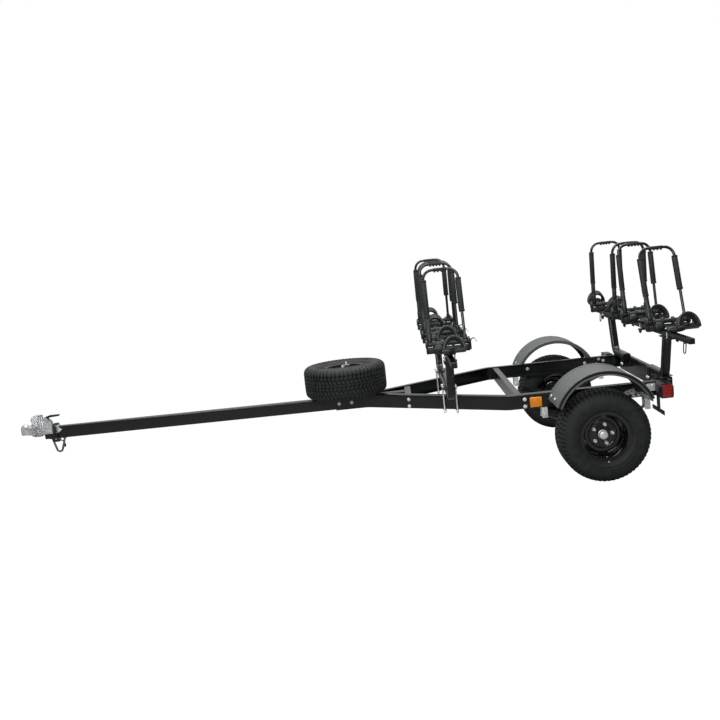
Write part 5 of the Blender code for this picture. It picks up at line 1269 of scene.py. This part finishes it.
# Black zinc wire: the same plate, turned nearly black in its last bath.
ring_zinc = zinc_plate("black_zinc_wire", "#15181a", "#2a2e30", 0.60)
for place, x in BARS:
    bm = bmesh.new()
    square_tube(bm, [(x, -BAR_CUT, CROSSBAR_Z), (x, BAR_CUT, CROSSBAR_Z)], 2 * BAR_HALF, 0.004, 0.01)
    for sign in SIDES.values():
        face = disc(bm, (x, sign * TIE_Y - SLEEVE_HALF, SLEEVE_Z), (0, 1, 0), TIE_SLEEVE, 18)
        pulled(bm, face, 0, 2 * SLEEVE_HALF, 0)
    placed(bm, f"load_bar_{place}", black_coat, [f"crossbar_{place}"])
    bm = bmesh.new()
    for sign in SIDES.values():
        for half, end, edge, steps in ((BAR_HALF, 0.0014, 0.003, 3), (0.009, 0.0002, 0.0006, 1)):
            block(bm, (x - half, sign * (BAR_CUT - 0.002), CROSSBAR_Z - half),
                  (x + half, sign * (BAR_END - end), CROSSBAR_Z + half), edge, steps)
    placed(bm, f"bar_caps_{place}", moulded)
    for side, sign in SIDES.items():
        bm = bmesh.new()
        top = Vector((x, sign * TIE_Y, SLEEVE_Z))
        rod(bm, [top + Vector((0, y, -drop)) for y, drop in (
            (-RING_GAP, 0), (-RING_HALF, 0), (-RING_HALF, RING_DROP), (RING_HALF, RING_DROP),
            (RING_HALF, 0), (RING_GAP, 0),
        )], RING_WIRE, 10, RING_BENDS)
        # The ring hangs plumb from the tilted bar.
        bm.transform(Matrix.Translation(top) @ Matrix.Rotation(PITCH, 4, "Y") @ Matrix.Translation(-top))
        node = f"tie_ring_{place}_{side}"
        placed(bm, f"wire_ring_{place}_{side}", ring_zinc, [node], 60, body=node)


# Cradles.
# Eight folding kayak cradles, four to a bar, the middle two on one clamp block. Each is a tall
# bent-tube hoop with two ribbed sleeves, hinged between moulded drums beside an arched saddle.
CRADLES = {
    "left": (-0.617, -1, math.radians(19.3)),
    "middle_left": (-0.121, -1, math.radians(10.0)),
    "middle_right": (0.103, 1, math.radians(2.7)),
    "right": (0.655, 1, math.radians(3.0)),
}
BASES = {"left": ["left"], "middle": ["middle_left", "middle_right"], "right": ["right"]}
BAR_TOP = CROSSBAR_Z + BAR_HALF + FIT
BAR_UNDER = CROSSBAR_Z - BAR_HALF - FIT
BASE_TOP = BAR_TOP + 0.026
LEG_HALF = 0.100
LEG_RADIUS = 0.0085
LEG_BEND = 0.055
HOOP_LENGTH = 0.434
SLEEVE_RADIUS = 0.0174
SLEEVE_TOP = HOOP_LENGTH - LEG_BEND - 0.004
SLEEVE_LENGTHS = {-1: 0.222, 1: 0.200}
SLEEVE_RIBS = 26
COLLAR = 0.010
PIVOT_Z = 0.600
DRUM_RADIUS = 0.027
HOUSING_RADIUS = 0.031
HOUSING_Z = PIVOT_Z - 0.030
HOUSING_SPAN = (0.030, 0.080)
PAD_HALF = 0.062
PAD_RISE = 0.080
PAD_WALL = 0.013
PAD_SHIFT = 0.014
PAD_WIDTH = 0.058
ARM_REACH = 0.315
ARM_LINE = [
    (0.020, BASE_TOP - 0.012), (0.100, BASE_TOP - 0.010), (0.170, BASE_TOP - 0.004),
    (0.235, BASE_TOP + 0.010), (ARM_REACH, BASE_TOP + 0.040),
]
ARM_RISE = math.atan2(0.030, ARM_REACH - 0.235)
CLAMP_BOLT_X = 0.0285

# The hoops' powder coat is a shade lighter than the frame's.
tube_coat = powder_coat("hoop_black_coat", "#0b1011", 0.30)

# Glass-filled nylon: near black, with a sparkle drawn 1.3 mm wide so that it shows, and faint
# flow marks of about 45 mm from the mould.
nylon = new_finish("glass_filled_nylon", "#1a1c1d", 0.48, slot="black_plastic")
marked(nylon, "ShaderNodeTexNoise", {"Scale": 800, "Detail": 2}, relief=(0.35, 0.0004))
marked(
    nylon, "ShaderNodeTexNoise", {"Scale": 22, "Detail": 5}, rough=(0.38, 0.60),
    tones=((0.0, colour("#0b0e0f")), (1.0, colour("#171b1c"))),
)

# Grip rubber: matt, with an open skin whose cells are drawn 2 mm wide so that they show.
foam = new_finish("ribbed_grip_rubber", "#14181a", 0.66, slot="black_plastic", Specular_IOR_Level=0.4)
marked(foam, "ShaderNodeTexNoise", {"Scale": 520, "Detail": 3}, (0.56, 0.80), (0.4, 0.0006))

# Woven polyester webbing: matt black with fine ribs across it, 1.2 mm apart.
webbing = new_finish("woven_webbing", "#121415", 0.80, slot="black_plastic", Specular_IOR_Level=0.3)
marked(
    webbing, "ShaderNodeTexWave", {"Scale": 260, "Distortion": 0.6}, (0.66, 0.90), (0.5, 0.0006),
    bands_direction="Z",
)


def slab(bm, outline, way, edge, steps=2, sharp=1.0):
    """A flat outline pulled straight along a way, its sharp edges rounded."""
    before = set(bm.faces)
    pulled(bm, polygon(bm, outline), *way)
    edges = {e for f in bm.faces if f not in before for e in f.edges}
    bevel(bm, [e for e in edges if e.is_manifold and e.calc_face_angle() > sharp], edge, steps)


def hoop(x, foot_y, out, tilt, label):
    """One folding hoop: its tube, the bosses on its feet, its sleeves and its top grip."""
    lean = Vector((0, -out * math.sin(tilt), math.cos(tilt)))
    foot = Vector((x, foot_y, PIVOT_Z))
    across = Vector((LEG_HALF, 0, 0))
    body = f"cradle_{label}"
    bm = bmesh.new()
    top = foot + lean * HOOP_LENGTH
    route = [foot - across, top - across, top + across, foot + across]
    rod(bm, route, LEG_RADIUS, 20, LEG_BEND, 12)
    placed(bm, f"hoop_tube_{label}", tube_coat, [f"cradle_frame_{label}"], body=body)
    bm = bmesh.new()
    for leg in (-1, 1):
        low = foot + across * leg
        half = Vector((0.0115, 0, 0))
        barrel(bm, low - half, low + half, 0.0148, 0.003)
        # The front leg's foot is a long moulded arm; the rear one's is a short cup.
        reach, wide = ((0.156, 0.0142) if leg < 0 else (0.040, 0.0125))
        barrel(bm, low + lean * 0.010, low + lean * reach, wide, 0.003)
        barrel(bm, low + lean * 0.012, low + lean * reach * 0.5, wide + 0.0022, 0.003)
    placed(bm, f"hoop_bosses_{label}", nylon, body=body)
    bm = bmesh.new()
    for leg in (-1, 1):
        low = foot + across * leg
        start = SLEEVE_TOP - SLEEVE_LENGTHS[leg]
        barrel(bm, low + lean * start, low + lean * SLEEVE_TOP, SLEEVE_RADIUS - 0.0014)
        for collar in (start, SLEEVE_TOP - COLLAR):
            barrel(bm, low + lean * collar, low + lean * (collar + COLLAR), SLEEVE_RADIUS, 0.0015)
        for i in range(SLEEVE_RIBS):
            rise = start + 0.016 + i * (SLEEVE_LENGTHS[leg] - 0.032) / (SLEEVE_RIBS - 1)
            spot = low + lean * rise - Vector((0.0046, 0, 0))
            barrel(bm, spot - lean * 0.0023, spot + lean * 0.0023, 0.0136, 0.0, 12)
    turn = Matrix.Translation(top) @ Matrix.Rotation(out * tilt, 4, "X")
    block(bm, (-0.040, -0.0098, -0.0092), (0.040, 0.0098, 0.0090), 0.0058, 3, turn)
    for tooth in (-0.030, -0.010, 0.010, 0.030):
        around(bm, (tooth, 0, -0.0114), (0.0052, 0.0080, 0.0034), 0.0025, 2, turn)
    placed(bm, f"hoop_grips_{label}", foam, body=body)


def moulding(bm, x, foot_y, out):
    """Clamp block, hinge housing and drums, and the thick arm that reaches out to the saddle."""

    def body_block(half_x, ys, zs, edge, steps):
        block(bm, (x - half_x, foot_y + ys[0], zs[0]), (x + half_x, foot_y + ys[1], zs[1]), edge, steps)

    def boss(low_x, high_x, z, radius, edge, sides=28):
        barrel(bm, (x + low_x, foot_y, z), (x + high_x, foot_y, z), radius, edge, sides)

    def cheek(middle, half):
        around(bm, (x + middle, foot_y, (BAR_TOP + 0.004 + PIVOT_Z) / 2),
               (half, 0.018, (PIVOT_Z - BAR_TOP - 0.004) / 2), 0.004)

    body_block(0.034, (-out * 0.028, out * 0.098), (BAR_TOP, BASE_TOP - 0.004), 0.005, 3)
    body_block(0.027, (out * 0.020, out * 0.092), (BAR_TOP + 0.010, BASE_TOP + 0.004), 0.008, 4)
    body_block(0.124, (-0.013, 0.013), (BAR_TOP + 0.0035, PIVOT_Z - 0.0175), 0.006, 3)
    boss(-0.0870, 0.0870, PIVOT_Z, 0.0135, 0.003)
    near, far = (out * reach for reach in HOUSING_SPAN)
    boss(near, far, HOUSING_Z, HOUSING_RADIUS, 0.007, 36)
    boss(near + out * 0.004, far + out * 0.003, HOUSING_Z, 0.019, 0.002, 32)
    for groove in (0.016, 0.034):
        boss(near + out * groove, near + out * (groove + 0.004), HOUSING_Z, 0.0322, 0.0012, 36)
    for middle in (-0.080, -0.030, 0.030, 0.080):
        cheek(middle, 0.0065)
        boss(middle - 0.0070, middle + 0.0070, PIVOT_Z, 0.0225, 0.003)
    for leg in (-1, 1):
        boss(leg * 0.1126, leg * 0.1262, PIVOT_Z, DRUM_RADIUS, 0.005)
        boss(leg * 0.1252, leg * 0.1274, PIVOT_Z, 0.0165, 0.001)
        cheek(leg * 0.118, 0.006)
    for half, over, below in ((0.025, 0.004, 0.006), (0.013, 0.009, 0.011)):
        outline = [(x - half, foot_y + out * a, z + over) for a, z in ARM_LINE]
        outline += [(x - half, foot_y + out * a, z - below) for a, z in reversed(ARM_LINE)]
        slab(bm, outline, (2 * half, 0, 0), 0.0030)


def saddle(x, foot_y, out, label):
    """The arched band at the arm's end, its seat strip, and the rubber pad that lines it."""
    up = Vector((0, -out * math.sin(ARM_RISE), math.cos(ARM_RISE)))
    outward = Vector((0, out * math.cos(ARM_RISE), math.sin(ARM_RISE)))
    seat = Vector((x - out * PAD_SHIFT, foot_y + out * (ARM_REACH - PAD_WIDTH / 2), BASE_TOP + 0.024))

    def near_face(outline, width):
        return [seat + Vector((a, 0, 0)) + up * b - outward * width / 2 for a, b in outline]

    def band(rx, rz, wall, width, edge):
        arch = []
        for a, b in ((rx, rz), (rx - wall, rz - wall)):
            row = [(a * math.cos(math.pi * i / 20), b * math.sin(math.pi * i / 20)) for i in range(21)]
            arch += row if not arch else row[::-1]
        slab(bm, near_face(arch, width), outward * width, edge, 3, 1.2)

    bm = bmesh.new()
    band(PAD_HALF, PAD_RISE, PAD_WALL, PAD_WIDTH, 0.0045)
    band(PAD_HALF + 0.0004, PAD_RISE + 0.0004, 0.006, 0.014, 0.0010)
    width = PAD_WIDTH - 0.002
    strip = [(-PAD_HALF, -0.008), (PAD_HALF, -0.008), (PAD_HALF, 0.007), (-PAD_HALF, 0.007)]
    slab(bm, near_face(strip, width), outward * width, 0.0035)
    placed(bm, f"saddle_band_{label}", nylon)
    bm = bmesh.new()
    band(PAD_HALF - PAD_WALL + 0.0004, PAD_RISE - PAD_WALL + 0.0004, 0.006, PAD_WIDTH - 0.014, 0.0020)
    width = PAD_WIDTH - 0.016
    for a in (-0.020, 0.0, 0.020):
        rib = [(a - 0.0070, 0.004), (a + 0.0070, 0.004), (a + 0.0049, 0.018), (a - 0.0049, 0.018)]
        pulled(bm, polygon(bm, near_face(rib, width)), *(outward * width))
    placed(bm, f"saddle_pad_{label}", foam)


def bar_clamp(x, foot_y, out, label):
    """The jaw under the bar with its wing knobs, the plated bolts, and the strap's wire hook."""
    middle_y = foot_y + out * 0.060
    bm = bmesh.new()
    around(bm, (x, middle_y, BAR_UNDER - 0.005), (0.038, 0.020, 0.005), 0.003)
    for end in (-1, 1):
        knob = Vector((x + end * CLAMP_BOLT_X, middle_y, BAR_UNDER - 0.010))
        barrel(bm, knob, knob - Vector((0, 0, 0.010)), 0.0095, 0.002, 18)
        around(bm, knob - Vector((0, 0, 0.011)), (0.0035, 0.017, 0.007), 0.003)
    placed(bm, f"bar_clamp_{label}", nylon)
    bm = bmesh.new()
    for end in (-1, 1):
        shank = Vector((x + end * CLAMP_BOLT_X, middle_y, BAR_UNDER - 0.002))
        barrel(bm, shank, shank + Vector((0, 0, 2 * BAR_HALF + 0.004)), 0.0036, 0.0, 12)
        bolt(bm, (shank.x, middle_y, BASE_TOP - 0.006), (0, 0, 1), 0.0065, 0.005, 0.009)
    placed(bm, f"clamp_bolts_{label}", zinc)
    bm = bmesh.new()
    hook = Vector((x + 0.1225, foot_y + out * 0.012, BAR_TOP + 0.012))
    rod(bm, [hook + Vector((a, out * b, c)) for a, b, c in (
        (0, 0, 0), (0, 0.034, 0.008), (0, 0.040, 0.040), (-0.006, 0.064, 0.072),
    )], 0.0030, 12, 0.014)
    placed(bm, f"strap_hook_{label}", tube_coat)


def strap_tail(x, foot_y, out, label):
    """The tail of the webbing strap stands up beside the rear leg and curls over."""
    bm = bmesh.new()
    foot = Vector((x + 0.1295, foot_y + out * 0.004, BAR_TOP + 0.010))
    corners = ((-0.0015, -0.011), (0.0015, -0.011), (0.0015, 0.011), (-0.0015, 0.011))
    face = polygon(bm, [foot + Vector((a, b, 0)) for a, b in corners])
    drawn(bm, face, [
        (Vector((0, 0, 0.046)),),
        (foot + Vector((0.016, 0, 0.046)), Vector((0, 1, 0)), math.radians(115), 12),
        (Vector((0.012, 0, -0.022)),),
    ])
    placed(bm, f"strap_tail_{label}", webbing)


for place, x in BARS:
    for base, names in BASES.items():
        bm = bmesh.new()
        for name in names:
            moulding(bm, x, *CRADLES[name][:2])
        if base == "middle":
            low_y, high_y = (CRADLES[name][0] for name in names)
            block(bm, (x - 0.030, low_y + 0.026, BAR_TOP + 0.003),
                  (x + 0.030, high_y - 0.026, BAR_TOP + 0.018), 0.003)
        node = f"cradle_base_{place}_{base}"
        placed(bm, f"cradle_moulding_{place}_{base}", nylon, [node])
    for name, (foot_y, out, tilt) in CRADLES.items():
        label = f"{place}_{name}"
        hoop(x, foot_y, out, tilt, label)
        saddle(x, foot_y, out, label)
        bar_clamp(x, foot_y, out, label)
        if place == "front":
            strap_tail(x, foot_y, out, label)


# Floor, backdrop and lamps.
# A studio with a white paper floor, a bright world behind the trailer in place of a cyclorama,
# an unlit room in front of it, and a long soft box overhead. The paper itself is burnt out to
# even white.
FLOOR_RADIUS = 14
FLOOR_DROP = 0.0005
PAPER_GLOW = 1.04
PAPER_SHADE = 0.02
ROOM_DARK, ROOM_BRIGHT = 0.20, 0.65
ROOM_SPLIT = (-0.35, 0.75)

paper = bpy.data.materials.new("white_paper_sweep")
paper.use_nodes = True
paper_nodes = paper.node_tree.nodes
paper_nodes.remove(paper_nodes["Principled BSDF"])
seen = add(paper, "ShaderNodeLightPath", {}).outputs["Is Camera Ray"]
glow = add(paper, "ShaderNodeEmission", {"Strength": PAPER_GLOW}).outputs["Emission"]
matt = add(paper, "ShaderNodeBsdfDiffuse", {"Color": colour("#8c8c8a")}).outputs["BSDF"]
burnt = add(paper, "ShaderNodeMixShader", {"Fac": PAPER_SHADE, 1: glow, 2: matt}).outputs["Shader"]
sweep = add(paper, "ShaderNodeMixShader", {"Fac": seen, 1: matt, 2: burnt}).outputs["Shader"]
paper.node_tree.links.new(sweep, paper_nodes["Material Output"].inputs["Surface"])
bm = bmesh.new()
bmesh.ops.create_circle(bm, cap_ends=True, segments=96, radius=FLOOR_RADIUS)
bmesh.ops.translate(bm, verts=bm.verts, vec=(0, 0, -FLOOR_DROP))
floor_mesh = mesh_of(bm, "paper_floor")
floor_mesh.materials.append(paper)
shown("paper_floor", floor_mesh)

world = bpy.data.worlds.new("studio")
bpy.context.scene.world = world
world.use_nodes = True
facing = add(world, "ShaderNodeTexCoord", {}).outputs["Generated"]
depth = add(world, "ShaderNodeSeparateXYZ", {"Vector": facing}).outputs["Y"]
lit = add(world, "ShaderNodeMapRange", {
    "Value": depth, "From Min": ROOM_SPLIT[0], "From Max": ROOM_SPLIT[1],
    "To Min": ROOM_DARK, "To Max": ROOM_BRIGHT,
}, interpolation_type="SMOOTHSTEP").outputs["Result"]
direct = add(world, "ShaderNodeLightPath", {}).outputs["Is Camera Ray"]
# The mix node's numbered sockets: factor, the two values, and the mixed value.
level = add(world, "ShaderNodeMix", {0: direct, 2: lit, 3: 1.0}).outputs[0]
background = world.node_tree.nodes["Background"].inputs
world.node_tree.links.new(level, background["Strength"])
background["Color"].default_value = (1, 1, 1, 1)


def softbox(name, place, target, size, power):
    """A large square lamp that faces its target."""
    data = bpy.data.lights.new(name, "AREA")
    data.shape = "RECTANGLE"
    data.size, data.size_y = size
    data.energy = power
    lamp = shown(name, data)
    lamp.matrix_world = aimed(place, Vector(target) - Vector(place), "-Z", "Y")


softbox("overhead_box", (0.0, 0.2, 3.4), (0.0, 0.0, 0.0), (5.5, 2.0), 210)
softbox("front_strip", (-0.6, -4.6, 2.9), (0.2, 0.0, 0.3), (4.5, 1.0), 190)
bpy.context.scene.view_settings.view_transform = "Standard"
